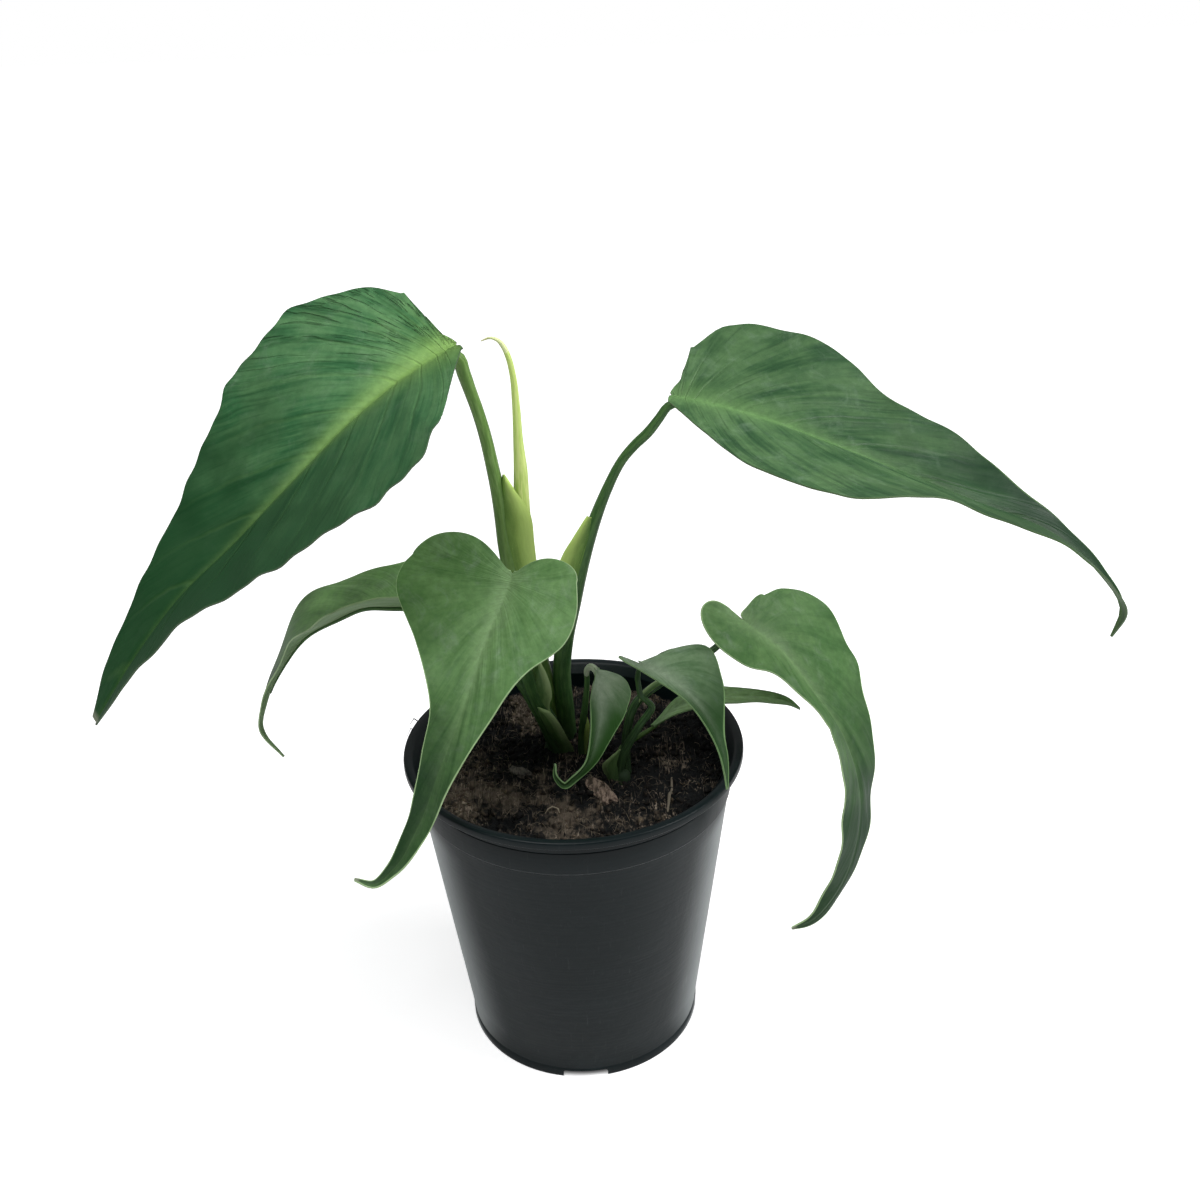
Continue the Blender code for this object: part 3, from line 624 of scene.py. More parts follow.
# %% [markdown]
# ## The small leaves
# Leaf 6 and leaf 7 are young, dark and folded, with tips that hook over. Leaf 8 is a narrow first leaf that
# lies out over the right rim and ends in a blunt tip.

# %% Leaves 6, 7 and 8
young_leaf = dict(deep=(.110, .200, .095), fresh=(.200, .310, .170), rib=(.36, .44, .33), rib_width=4.5,
                  dust=(.28, .36, .30), dustiness=.5, veins=.3, margin=(.20, .34, .14), tips=(.92, .92),
                  tip_start=-.05, rib_glow=.6)
build_blade(
    6, young_leaf | dict(dark=(.014, .050, .010), tip_start=.2, gloss=.08),
    rib=[(21, -12, 170), (26, -12, 167), (34, -14, 163), (44, -20, 157), (50, -28, 151), (54, -36, 143),
         (55, -43, 132)],
    faces=[(.1, -.4, 1), (.3, -.6, .8), (.7, -.7, .2)], lobes=(1, 9),
    left=(1, 5, 12, 19, 13.5, 7, 2.5, 1.5, 1, .5), right=(4.4, 4.7, 5, 4.7, 4, 3.5, 3, 2.5, 1.5, .5),
    folds=[(0, 10, 20)], grid=(80, 18), groove=.4, pillows=.1)
# Leaf 7's greens are pale, and only its base keeps them before the dark tip colour takes over: a painted sheen near
# the stalk.
build_blade(
    7, young_leaf | dict(dark=(.020, .066, .012), deep=(.250, .350, .220), fresh=(.400, .500, .350), tips=(1, 1),
                         tip_start=-.08, gloss=.05),
    rib=[(9, -10, 168), (10, -14, 166), (11, -20, 160), (11, -26, 154), (9, -30, 146), (6, -33, 139),
         (1, -35, 134), (-3, -36, 131), (-6, -36, 135), (-6, -35, 140)],
    faces=[(.1, -.6, .8), (.3, -.8, .3), (.3, -.8, -.3), (-.5, -.3, .9)],
    left=(1.2, 8, 11, 9.5, 6, 4, 2.3, 1.1, .8, .4), right=(.5, 1.5, 3.5, 4.8, 4, 3, 2, 1.5, 1, .4),
    folds=[(0, 5, 20)], grid=(80, 16), groove=.35, pillows=.1)
# Leaf 8's greens are far paler than the other leaves': painted light, which lifts a leaf that lies in the shade of
# its neighbours.
build_blade(
    8, young_leaf | dict(deep=(.30, .52, .20), fresh=(.41, .65, .29), tips=(.1, .1), rib_glow=.2),
    rib=[(28, -1, 131), (31, 2, 132), (41, 4, 139), (51, 6, 141), (63, 8, 140), (74, 8, 139), (84, 8, 136),
         (88, 8, 133)],
    faces=[(-.3, -.1, 1), (0, -.1, 1), (.3, -.1, 1)], lobes=(.5, .5),
    left=(1, 1.5, 3, 4.5, 5.5, 4.5, 3.5, 3, 2, .5), right=(1, 3, 5, 7, 7, 6.5, 5, 4.5, 2.5, .5),
    folds=[(0, 10, 10)], grid=(70, 12), groove=.4, pillows=.08)

# %% [markdown]
# ## Stalk skin
# A leaf stalk is a smooth, slightly ridged rod with pale streaks along it, darker where it comes out of the soil,
# with dirt and painted shade. A sheath is the thin wing of an older stalk that once wrapped the next leaf: dark
# where it is attached, and yellow-green and almost dry at its free edge. One group serves both. The streaks read
# a UV map whose first value goes round the stalk and is turned into a circle, so that they meet without a seam.

# %% Stalk skin group
stalk_skin, ask, result = new_group("stalk skin", {
    "Dark": (.03, .09, .03), "Light": (.10, .22, .06), "Edge": (.33, .46, .14), "Foot": (.012, .025, .010),
    "Edge start": .45})
wrap = wire(stalk_skin, "UVMap", "UV", uv_map="wrap")
angle = wrap.part("X") * (2 * math.pi)
round_it = joined(angle.maths("COSINE"), angle.maths("SINE"), wrap.part("Y") * 4)
streaks = speckle(round_it, 2.6, 4, .6)
hairlines = speckle(round_it.stretched(7, 7, .8), 1.5, 3, .6)
freckles = speckle(round_it.stretched(3, 3, 8), 6, 2, .5)
wing = wire(stalk_skin, "Attribute", "Fac", attribute_name="wing")
# Dirt and painted shade: the Foot colour takes over towards the soil, up to about 3 cm above it.
grime_and_shade = freckles * .012 + place_on(stalk_skin).part("Z")
rod = layers(
    ask["Dark"],
    (streaks.ramp(.38, .64), ask["Light"]),
    (hairlines.ramp(.45, .75, 0, .35), ask["Light"]),
    (freckles.ramp(.66, .74, 0, .30), ask["Edge"]),
    ((streaks * .16 + wing - .08).ramp(ask["Edge start"], .96), ask["Edge"]),
    (wing.ramp(.965, .995, 0, .5), (.30, .22, .10)),
    (grime_and_shade.ramp(.119, .152, .85, 0), ask["Foot"]))
feed(result, {"Color": rod, "Roughness": hairlines * .18 + .32 + grime_and_shade.ramp(.119, .150, .35, 0),
              "Height": streaks * .10 + hairlines * .05})


def stalk_material(name, dark, light, **others):
    return group_material(name, stalk_skin, light, .42, .25, dark=dark, light=light, **others)


stalk_green = stalk_material("stalk green", (.095, .200, .036), (.165, .290, .076))
stalk_dark = stalk_material("dark stalk green", (.034, .098, .025), (.074, .165, .046))
stalk_side = stalk_material("side stalk green", (.020, .056, .018), (.060, .135, .042))
# The crowns are near-black green: dark stem colour and painted shade, where they stand under the leaves.
shaded_stalk_foot = stalk_material("shaded stalk foot", (.012, .035, .012), (.030, .065, .022))
stalk_pale = stalk_material("pale stalk end", (.34, .42, .27), (.46, .54, .38), edge=(.5, .58, .42))
wing_pale = stalk_material("pale sheath", (.075, .175, .024), (.135, .265, .045), edge=(.56, .76, .20), edge_start=0)
wing_dark = stalk_material("dark sheath", (.075, .165, .042), (.140, .250, .080), edge=(.42, .56, .26), edge_start=.4)
fresh_roll = stalk_material("new leaf", (.48, .66, .15), (.66, .78, .27), edge=(.72, .80, .40))
print("stalk skin nodes:", len(stalk_skin.nodes))

# %% [markdown]
# ## Stalks
# Every stalk rises from one of two crowns, widest at the foot, and bends over just under its blade, where it
# runs on along the underside as the raised midrib. A curve with a round bevel gives an even tube with flat
# ends. Here a grid is rolled round the route instead: its width becomes the girth, its length the route, and
# the row at each end closes to a point. The girth has two soft ridges, and the two long edges are merged.


# %% Roll a sheet round a route
def route_frames(route, facing, count):
    """Places, a direction to the given facing side and one square to it, at even steps along a route."""
    at = lengths_along(route)
    steps = np.linspace(0, at[-1], count)
    reach = .004 * at[-1]
    ahead = unit(smooth_through(at, route, steps + reach) - smooth_through(at, route, steps - reach))
    fronts = []
    front = np.asarray(facing, float)
    for direction in ahead:
        front = front - direction * front.dot(direction)
        front = front / np.linalg.norm(front)
        fronts.append(front)
    return smooth_through(at, route, steps), np.array(fronts), np.cross(ahead, fronts), steps


def rolled(route, radii, rows, row, turn, swell, facing=(0, 1, 0), closed=True):
    """Places round a route, and how far along it each row is. The girth is closed to a point at both ends."""
    places, front, side, steps = route_frames(route, facing, rows + 1)
    girth = smooth_through(lengths_along(route), radii, steps)[:, 0]
    if closed:
        girth[0] = girth[-1] = .001
    outwards = front[row] * np.cos(turn)[:, None] + side[row] * np.sin(turn)[:, None]
    return places[row] + (girth[row] * swell)[:, None] * outwards, steps[row]


def end_edit():
    """Turns the faces outwards and leaves edit mode."""
    bpy.ops.mesh.select_all(action="SELECT")
    bpy.ops.mesh.normals_make_consistent(inside=False)
    bpy.ops.object.mode_set(mode="OBJECT")


# %% Stalk builder
RIB_END = .76         # share of the length where the raised midrib ends
RIB_OUT = .7          # share of the midrib's radius that stands under the skin
SKIN_BELOW = .33      # mm from the middle of the blade to its underside


def stalk(name, route, radii, material, *cad_nodes, rows=90, columns=20, ridge=.06, facing=(0, 1, 0)):
    piece, row, column = new_grid(name, rows, columns)
    turn = 2 * np.pi * column / columns
    swell = 1 + ridge * np.cos(2 * turn) + .5 * ridge * np.cos(3 * turn + 1)
    places, along = rolled(route, radii, rows, row, turn, swell, facing)
    dress(piece, places, {"wrap": (column / columns, along / 100)}, {"wing": np.zeros(len(row))}, material)
    bpy.ops.object.mode_set(mode="EDIT")
    bpy.ops.mesh.select_all(action="SELECT")
    bpy.ops.mesh.remove_doubles(threshold=.02 * MM)
    end_edit()
    keep(piece, "stalk", *cad_nodes)


def rib_below(leaf, shares, radii):
    """Points along the underside of the midrib, for a rib that is half sunk in the blade."""
    middle, _, face = midrib_frame(leaf, shares * rib_marks(leaf)[-1])
    drop = leaf["groove"] * (1 - GROOVE_FADE * shares) + SKIN_BELOW + RIB_OUT * radii
    return [tuple(point) for point in middle - face * drop[:, None]]


def leaf_stalk(number, route, radii, material, rib_radius, first=.02, split=False):
    """A stalk that runs on under its blade, to the last quarter of the midrib. Where the blade hangs straight
    down from its stalk the bend is too tight for one route, and the midrib is a rod of its own."""
    shares = np.linspace(first, RIB_END, 22)
    rib_radii = rib_radius * (1.02 - 1.1 * shares)
    midrib = rib_below(LEAVES[number], shares, rib_radii)
    if split:
        stalk(f"midrib_{number}", midrib, rib_radii, material, columns=12)
        stalk(f"stalk_{number}", route, radii, material, f"petiole_{number}", rows=110)
    else:
        stalk(f"stalk_{number}", route + midrib, [*radii, *rib_radii], material, f"petiole_{number}", rows=170)


# %% Stalks of the main crown
leaf_stalk(1, [(-6, 12, 117), (-8.5, 13, 130), (-11, 12, 150), (-15.5, 11, 175), (-19, 9.4, 193),
               (-20.2, 8.4, 201), (-21.2, 7.6, 208), (-21.9, 7, 217), (-22.8, 6.2, 229), (-23.9, 5.4, 238),
               (-26, 4.6, 252), (-27.7, 4, 260), (-29.6, 3, 267.5), (-31.2, 2, 274), (-32.6, .8, 279.6)],
           (4.2, 4.2, 4.2, 4.2, 4.2, 3.8, 3.3, 2.9, 2.7, 2.5, 2.35, 2.3, 2.35, 2.5, 2.4), stalk_green,
           rib_radius=1.6)
leaf_stalk(2, [(-2, 11, 117), (-2.8, 11, 135), (-3.4, 11, 151), (-1.2, 10.5, 168), (1.8, 10, 181),
               (4.8, 9.5, 194.4), (8, 9, 205.7), (12.7, 7.8, 219.6), (15.9, 6.2, 228), (22.4, 4, 241),
               (26.4, 3, 246), (30.7, 2.2, 250.4), (34.8, 1.4, 256), (37.6, .8, 260)],
           (3.8, 3.8, 3.7, 3.5, 3.4, 3.3, 2.9, 2.3, 2, 1.75, 1.8, 1.85, 1.7, 1.6), stalk_dark,
           rib_radius=1.5, first=.03)
leaf_stalk(3, [(-5, 6, 117), (-6, 5, 125), (-8.2, 4, 132), (-11.5, 2.6, 141), (-14.5, .8, 150),
               (-16.8, -3, 165), (-17.8, -9, 185), (-17.8, -14, 200), (-17.8, -17.6, 206.4)],
           (3.8, 3.6, 3.4, 3.1, 2.8, 2.3, 1.8, 1.7, 1.5), stalk_dark, rib_radius=1.4, split=True)
leaf_stalk(4, [(-4, 5, 117), (-6.5, 5, 123.5), (-9.8, 4.6, 132.5), (-14.2, 4.6, 142), (-17, 5, 147.5),
               (-22, 6.4, 156), (-29, 8, 168), (-37, 9.6, 175.6)],
           (4.4, 4, 3.4, 2.9, 2.6, 2.2, 1.8, 1.5), stalk_dark, rib_radius=1.2)
leaf_stalk(7, [(3, 2, 117), (3.2, 1.4, 124), (3.6, 0, 132), (5.2, -4.6, 146), (6.2, -8.4, 157),
               (6.4, -9.8, 163.4)],
           (1.8, 1.6, 1.5, 1.3, 1.1, 1), stalk_dark, rib_radius=.6, split=True)
stalk("hook_7", [(6.2, -9.7, 161.4), (6.5, -10.4, 164.2), (7.8, -11.4, 166), (9.3, -12.6, 165.6),
                 (10.4, -14, 163.8), (11.2, -15.6, 161.4)], (.9, 1.15, 1.2, 1.2, 1.1, .5), stalk_pale,
      rows=40, columns=14)
stalk("crown", [(-5, 9, 110), (-5, 9, 114), (-4.6, 8.6, 118), (-4.4, 8.4, 121.6), (-4.2, 8.4, 123)],
      (7, 7, 7, 6, 3), shaded_stalk_foot, "stem_main", rows=30, columns=36, ridge=.05)

# %% Stalks of the side shoot
leaf_stalk(6, [(16.4, -14.4, 119), (18.4, -13.4, 128), (23, -11, 136), (26.5, -9.6, 141),
               (28.9, -9, 144), (30, -9, 146.6), (28.4, -9, 149), (26.2, -9, 151.4), (25.2, -9, 156),
               (25, -9.6, 160.5)],
           (2.1, 1.9, 1.7, 1.5, 1.5, 1.4, 1.2, 1.2, 1.1, 1.1), stalk_side, rib_radius=.8)
leaf_stalk(5, [(20, -12.4, 119), (19.8, -10.8, 127), (20.6, -7.4, 135), (24, -4, 145), (33, 0, 151),
               (45, 4, 156.6), (57, 8.4, 163), (61, 10, 168)],
           (2, 1.9, 1.8, 1.8, 1.8, 1.6, 1.4, 1.3), stalk_side, rib_radius=1.1)
leaf_stalk(8, [(17.4, -11.6, 119), (16.8, -11, 124), (18, -8, 127.2), (21, -4, 128.2), (25, -1, 128.6)],
           (1.6, 1.5, 1.3, 1.2, 1.1), stalk_green, rib_radius=.7)
stalk("side_crown", [(18, -14, 110), (18, -14, 114), (18, -14, 118), (18, -13.6, 121.6), (18, -13.4, 123)],
      (3.9, 4.0, 3.8, 3.0, 1.5), shaded_stalk_foot, "stem_second", rows=30, columns=30, ridge=.08)

# %% [markdown]
# ## New leaf
# The next leaf stands up beside the stalk of leaf 1, still rolled up like a scroll, yellow-green, and soft at
# its hooked brown tip. A cone would miss the seam of the scroll. The grid is rolled a turn and a quarter round
# the route, each turn a little wider than the last, and its free edge stays a thin step.


# %% Rolled new leaf
TURNS = 1.25
BROWN_ROWS = 10


def scroll(name, route, radii, material, cad_node, rows=110, columns=40):
    piece, row, column = new_grid(name, rows, columns)
    share = column / columns
    places, along = rolled(route, radii, rows, row, 2 * np.pi * TURNS * share, .84 + .16 * share, closed=False)
    to_tip = (row - rows + BROWN_ROWS) / BROWN_ROWS
    wing = np.where(to_tip > 0, .9 + .1 * to_tip, np.clip(share - .86, 0, .14) * 3)
    dress(piece, places, {"wrap": (share * TURNS, along / 100)}, {"wing": wing}, material)
    modify(piece, "SOLIDIFY", thickness=.3 * MM, offset=-1)
    keep(piece, "new_leaf", cad_node, angle=50)


scroll("new_leaf_scroll", [(-12.4, 9, 160), (-13.2, 8.6, 178), (-14.4, 8, 195), (-14.9, 7.6, 205),
                           (-14.7, 7.2, 217), (-14.4, 6.6, 229), (-14.2, 6.2, 235), (-14.4, 5.6, 248),
                           (-14.4, 5, 262), (-14.8, 4.4, 271.5), (-15.9, 4.2, 278), (-17.4, 4.2, 282),
                           (-19, 4, 284.2), (-21.7, 4, 285.2), (-24.8, 4, 284.2)],
       (3, 3.2, 3.4, 3.4, 3.2, 2.8, 2.6, 1.8, 1.4, 1.15, 1.05, .95, .75, .5, .2), fresh_roll, "new_leaf")

# %% [markdown]
# ## Sheaths
# The wings of the stalks are thin sheets with one edge on a stalk and the other free. Their edges are what the
# eye follows, so a sheath is drawn as its two edges, each a smooth line from the tip down, and the sheet
# between them bulges outwards. Solidify gives it the thickness of a leaf base.


# %% Sheath builder
def sheath(name, attached, free, bulge, outwards, material, rows=50, columns=14):
    piece, row, column = new_grid(name, rows, columns)
    steps = np.linspace(0, 1, rows + 1)
    marks = np.linspace(0, 1, len(attached))
    near, far = (smooth_through(marks, edge, steps)[row] for edge in (attached, free))
    share = column / columns
    arch = np.sin(np.pi * share * .86) * np.minimum(1, np.linalg.norm(far - near, axis=1) / 3)
    places = near + (far - near) * share[:, None] + unit(np.array(outwards, float)) * bulge * arch[:, None]
    wing = np.maximum(share * (1 - .35 * row / rows), .9 * (1 - row / rows / .06))
    dress(piece, places, {"wrap": (.3 * share, row / rows * lengths_along(attached)[-1] / 100)}, {"wing": wing},
          material)
    modify(piece, "SOLIDIFY", thickness=.5 * MM, offset=0)
    keep(piece, "stalk")


# %% Sheaths
sheath("sheath_1", [(-20.5, 5.4, 235.4), (-21.5, 5.4, 231), (-22.2, 5, 220), (-21.6, 5.2, 208.5),
                    (-20.2, 5.8, 197.5), (-18.6, 7, 188)],
       [(-20, 4.6, 236), (-16.1, 3.6, 229.6), (-11.5, 4.2, 220.5), (-10.8, 5.6, 208.6), (-10.3, 6.4, 197.7),
        (-9.8, 7.4, 188)], 1.4, (-.1, -1, .1), wing_pale)
sheath("sheath_2", [(10.2, 6.8, 217.2), (9.8, 6.5, 215.2), (8.6, 6.2, 209.6), (7, 6.2, 204), (4, 6.5, 193),
                    (1, 7.4, 180), (-.4, 8.4, 166)],
       [(8.6, 6.6, 218), (6.6, 6, 215.2), (2.8, 5.6, 209.4), (-.9, 5.6, 203.2), (-3.9, 6.2, 194.5),
        (-4.4, 7.6, 182), (-2.4, 8.6, 166)], .7, (-.4, -1, .1), wing_pale)
sheath("sheath_3", [(-12.6, 1.6, 161.6), (-13.6, .4, 157), (-14, -.2, 152), (-13.8, .2, 147), (-12.8, .8, 142),
                    (-9, 2.4, 130), (-7, 3.6, 118)],
       [(-11, 1, 162.2), (-9, .5, 157.6), (-7.6, .8, 152), (-7.3, 1.2, 147), (-8.4, 1.8, 141), (-5, 3, 130),
        (-3, 4, 118)], 1.3, (-.2, -1, .1), wing_dark)
sheath("sheath_4", [(-12.8, .4, 143.2), (-12.6, -.2, 141.2), (-11.6, -.4, 138), (-10, -.2, 133.5),
                    (-8, .4, 128.5), (-6, 1.2, 124), (-5, 2, 117.5)],
       [(-12.2, -.8, 143.1), (-8, -2, 142.1), (-5.2, -1.4, 137.4), (-3.4, -.2, 132.6), (-1.8, 1, 128),
        (-.4, 2.2, 124), (1, 3, 117.5)], 2.2, (-.3, -1, .1), wing_dark)
sheath("sheath_7", [(3.8, -1, 138.2), (3.6, -.9, 134), (3.4, -.2, 129), (3.2, .6, 124), (3, 1.2, 117.5)],
       [(5.6, -1.2, 138.8), (6.4, -1, 134.6), (5.9, -.2, 129.4), (5.2, .6, 124), (4.6, 1.2, 117.5)], .8,
       (0, -1, .1), wing_pale)
sheath("side_sheath", [(17.7, -17.2, 133.6), (16.8, -17.4, 130.8), (16.2, -17.6, 128), (16.4, -17.4, 125),
                       (17, -16.6, 117.5)],
       [(17.4, -17.6, 133.9), (13.6, -18.2, 130.8), (11, -18.2, 128), (11.6, -17.6, 124), (13.4, -16.6, 117.5)],
       1.4, (-.2, -1, .2), wing_dark)
sheath("sheath_5", [(25.4, -5.4, 146.6), (28, -4.2, 148.6), (31, -2.8, 150.6), (34.6, -1.6, 152.4)],
       [(26, -4.6, 150.2), (29, -3.4, 152.4), (31.8, -2.4, 153.8), (34.8, -1.4, 154)], .5, (0, -1, .2), wing_dark)

# %% [markdown]
# ## Nursery pot
# A nursery pot is blown or pressed from thin black plastic: a rolled rim, a straight band under it, a slightly
# conical wall, a foot ring and drain holes in the base, with a notch in the foot beside each hole to let water
# out. A potter's way of modelling fits: start from a circle, then extrude and resize it ring by ring along the
# profile, inside and out. A bevel softens the rings, and cutters take out the holes and the notches.


# %% Pot profile
RIM_RADIUS, RIM_TOP = 65, 127
SHOULDER_RADIUS, SHOULDER_BOTTOM, SHOULDER_STEP = 60.3, 109.5, .6
FOOT_RADIUS, FOOT_HEIGHT, WALL_FOOT_RADIUS = 46.8, 3.5, 46.3
WALL = 1.3


def on_wall(height, inwards=0):
    """A profile point on the tapered wall under the shoulder band."""
    share = (height - FOOT_HEIGHT) / (SHOULDER_BOTTOM - FOOT_HEIGHT)
    return WALL_FOOT_RADIUS + share * (SHOULDER_RADIUS - SHOULDER_STEP - WALL_FOOT_RADIUS) - inwards, height


LEVELS = (90, 70, 50, 30, 15)
inside = [(15.8, WALL), (22, 4.8), on_wall(4.8, 3)]
inside += [on_wall(level, WALL) for level in (7, *LEVELS[::-1], 109)] + [(59, 123)]
rim = [(61.2, 125.9), (61.9, 126.7), (62.7, RIM_TOP), (64.2, RIM_TOP), (64.8, 126.7), (RIM_RADIUS, 126),
       (RIM_RADIUS, 124.3), (64.6, 123.9), (63.9, 123.9), (63.6, 125.2), (61, 125.2)]
outside = [(SHOULDER_RADIUS, 124), (SHOULDER_RADIUS, 119.4), (SHOULDER_RADIUS - .25, 119.1),
           (SHOULDER_RADIUS, 118.8), (SHOULDER_RADIUS, 110.2)]
outside += [on_wall(level) for level in (109.4, *LEVELS, FOOT_HEIGHT + .5)]
outside += [(FOOT_RADIUS, 3.2), (FOOT_RADIUS, .4), (46.5, 0)]
base = [(45, 0), (44.6, FOOT_HEIGHT), (22, FOOT_HEIGHT), (16, 0), (2, 0)]
profile = [(2, WALL)] + inside + rim + outside + base
print("pot rings:", len(profile))


# %% Turn the pot
def ring_by_ring(name, profile, around):
    """Extrudes a circle along a closed profile and closes its first and last ring to a point."""
    bpy.ops.mesh.primitive_circle_add(vertices=around, radius=profile[0][0] * MM)
    piece = named(name)
    bpy.ops.object.mode_set(mode="EDIT")
    bpy.ops.mesh.select_all(action="SELECT")
    bpy.ops.transform.translate(value=(0, 0, profile[0][1] * MM))
    for (radius, height), (next_radius, next_height) in zip(profile, profile[1:]):
        bpy.ops.mesh.extrude_region_move(TRANSFORM_OT_translate={"value": (0, 0, (next_height - height) * MM)})
        bpy.ops.transform.resize(value=(next_radius / radius, next_radius / radius, 1), center_override=(0, 0, 0))
    bpy.ops.mesh.merge(type="CENTER")
    bpy.ops.object.mode_set(mode="OBJECT")
    for vertex in piece.data.vertices:
        vertex.select = (math.hypot(vertex.co.x, vertex.co.y) < (profile[0][0] + .1) * MM
                         and abs(vertex.co.z - profile[0][1] * MM) < .01 * MM)
    bpy.ops.object.mode_set(mode="EDIT")
    bpy.ops.mesh.merge(type="CENTER")
    end_edit()
    return piece


pot = ring_by_ring("nursery_pot", profile, 160)
modify(pot, "BEVEL", width=.18 * MM, segments=2, limit_method="ANGLE", angle_limit=math.radians(35))
print("pot faces:", len(pot.data.polygons))


# %% Notches and drain holes
def cutter(kind, place, size, turn, rounding):
    if kind == "notch":
        bpy.ops.mesh.primitive_cube_add(size=1)
    else:
        bpy.ops.mesh.primitive_cylinder_add(vertices=40, radius=.5, depth=1)
    made = bpy.context.object
    bpy.ops.transform.resize(value=[part * MM for part in size])
    bpy.ops.object.transform_apply(location=False, rotation=False, scale=True)
    modify(made, "BEVEL", width=rounding * MM, segments=4)
    made.location = Vector(place) * MM
    made.rotation_euler.z = turn
    return made


for number in range(4):
    turn = math.pi / 2 * (number - 1)
    out = Vector((math.cos(turn), math.sin(turn), 0))
    for tool in (cutter("notch", out * FOOT_RADIUS, (9, 17.5, 6.2), turn, 1.1),
                 cutter("hole", out * 34 + Vector((0, 0, 4)), (9, 9, 6), turn, .2)):
        bpy.context.view_layer.update()
        modify(pot, "BOOLEAN", object=tool, solver="EXACT")
        bpy.data.objects.remove(tool)
print("pot faces with holes:", len(pot.data.polygons))

# %% [markdown]
# ## Black plastic
# Pressed black plastic is never quite even. It is satin rather than glossy, with faint rings from the mould,
# a slight cloudiness, fine up-and-down rubbing marks, and dust that is thickest near the foot. Below the rim
# band the wall is painted paler where it turns away from the camera at its left and right edges, a painted
# reflection of the pale room. Two scuffs sit low on the wall at the left and the right. The tone stays near
# black: what makes it read as plastic is the way its roughness varies.

# %% Plastic material
plastic, tree, shader = new_material("black plastic", (.008, .012, .012), .3, .2)
place = place_on(tree)
height = place.part("Z")
clouds = speckle(place, 38, 4, .6, .3)
rubbing = speckle(place.stretched(900, 900, 40), 1, 3, .6)
grain = speckle(place, 2600, 2, .6)
rings = speckle(place.stretched(3, 3, 700), 1, 2, .5)
dust = clouds.ramp(.42, .75) * ((clouds * .03 + height).ramp(.012, .04, 1, 0) * .5 + .25)


def scuff(x, y, z, size, strength):
    away = place.stretched(1, 1, .45).distance((x * MM, y * MM, z * .45 * MM))
    return away.ramp(0, size * MM, strength, 0) * rubbing.ramp(.40, .60)


# Painted reflection: the wall below the rim band is paler where it faces away from the camera.
edge_reflection = wire(tree, "LayerWeight", "Facing").ramp(.55, .98, 0, .8) * height.ramp(.100, .112, 1, 0)
tone = layers(
    (.0022, .0068, .0078),
    (dust, (.0115, .0195, .0215)),
    (scuff(-43, -26, 32, 4, .9) + scuff(41, -29, 30, 3, .8), (.10, .11, .11)),
    (edge_reflection, (.42, .46, .46)),
    (rubbing.ramp(.60, .80, 0, .25), (.045, .050, .052)))
paint(shader, tone, clouds * .14 + .24 + rubbing * .08, rings * .05 + clouds * .35 + grain * .012)
pot.data.materials.clear()
pot.data.materials.append(plastic)
keep(pot, "pot", "pot", angle=30)

# %% [markdown]
# ## Potting mix
# The mix is peat and coir: a dark crumbly bed, heaped a little against the stems, with coarse clods, bits of
# bark and many pale fibres. The bed comes first. A square grid mapped to a disc has even faces right up to the
# wall, where a fan of triangles would crowd the middle. Layers of noise, from hand-sized heaves down to
# crumbs, lift it, and the outline is extruded down along the wall to the floor of the pot.


# %% Bed of mix
BED_RADIUS = 58.9
HEAPS = (((-2, 9), 7, 5), ((18, -12), 6, 2.5), ((8, -27), 9, 1.8), ((-30, -24), 12, 1.5), ((34, -14), 13, -2.2),
         ((-34, 14), 14, -1.6))        # place, reach and height


def mix_height(x, y):
    """Height of the bed at a place, in mm."""
    spot = Vector((x, y, 0))
    level = 118.2 - 1.9 * (math.hypot(x, y) / BED_RADIUS)**3
    for (at_x, at_y), reach, height in HEAPS:
        level += height * math.exp(-((x - at_x)**2 + (y - at_y)**2) / (2 * reach**2))
    level += 1.5 * noise.noise(spot * .085 + Vector((3, 1, 0)))
    clods = noise.noise(spot * .30 + Vector((0, 7, 0)))
    level += 1.5 * (.7 - 2 * abs(clods)) + .8 * noise.noise(spot * .62)
    level += .45 * (1 - 2 * abs(noise.noise(spot * 1.3 + Vector((5, 0, 0))))) + .25 * noise.noise(spot * 2.8)
    return level


SIDES = 240
bpy.ops.mesh.primitive_grid_add(x_subdivisions=SIDES, y_subdivisions=SIDES, size=2)
bed = named("mix_bed")
for vertex in bed.data.vertices:
    a, b = vertex.co.x, vertex.co.y
    x, y = BED_RADIUS * a * math.sqrt(1 - b * b / 2), BED_RADIUS * b * math.sqrt(1 - a * a / 2)
    vertex.co = Vector((x, y, mix_height(x, y))) * MM
bpy.ops.object.mode_set(mode="EDIT")
bpy.ops.mesh.select_all(action="DESELECT")
bpy.ops.mesh.select_non_manifold()
for drop, squeeze in ((5, .998), (50, .90), (54, .85)):
    bpy.ops.mesh.extrude_region_move(TRANSFORM_OT_translate={"value": (0, 0, -drop * MM)})
    bpy.ops.transform.resize(value=(squeeze, squeeze, 1), center_override=(0, 0, 0))
bpy.ops.transform.resize(value=(1, 1, 0), center_override=(0, 0, 5.4 * MM))
bpy.ops.mesh.edge_face_add()
end_edit()
print("bed height:", round(max(vertex.co.z for vertex in bed.data.vertices) / MM, 1))

# %% [markdown]
# ## Mix material
# Peat is almost black where it is damp, brown where it has dried, and full of short straw-coloured threads.
# A painted pool of light turns a patch at the front more brown, and makes the rest a little darker.
# The threads are drawn as the thin zero line of a stretched noise, turned two ways, which gives hairs of even
# width where thresholded noise gives blots. The same group colours the bed and its crumbs.


# %% Mix group and material
def hairs(where, angle, size):
    line = speckle(where.stretched(1, .10, .5, (.3, .2, angle)), size, 2)
    return abs(line - .5).ramp(.004, .016, 1, 0)


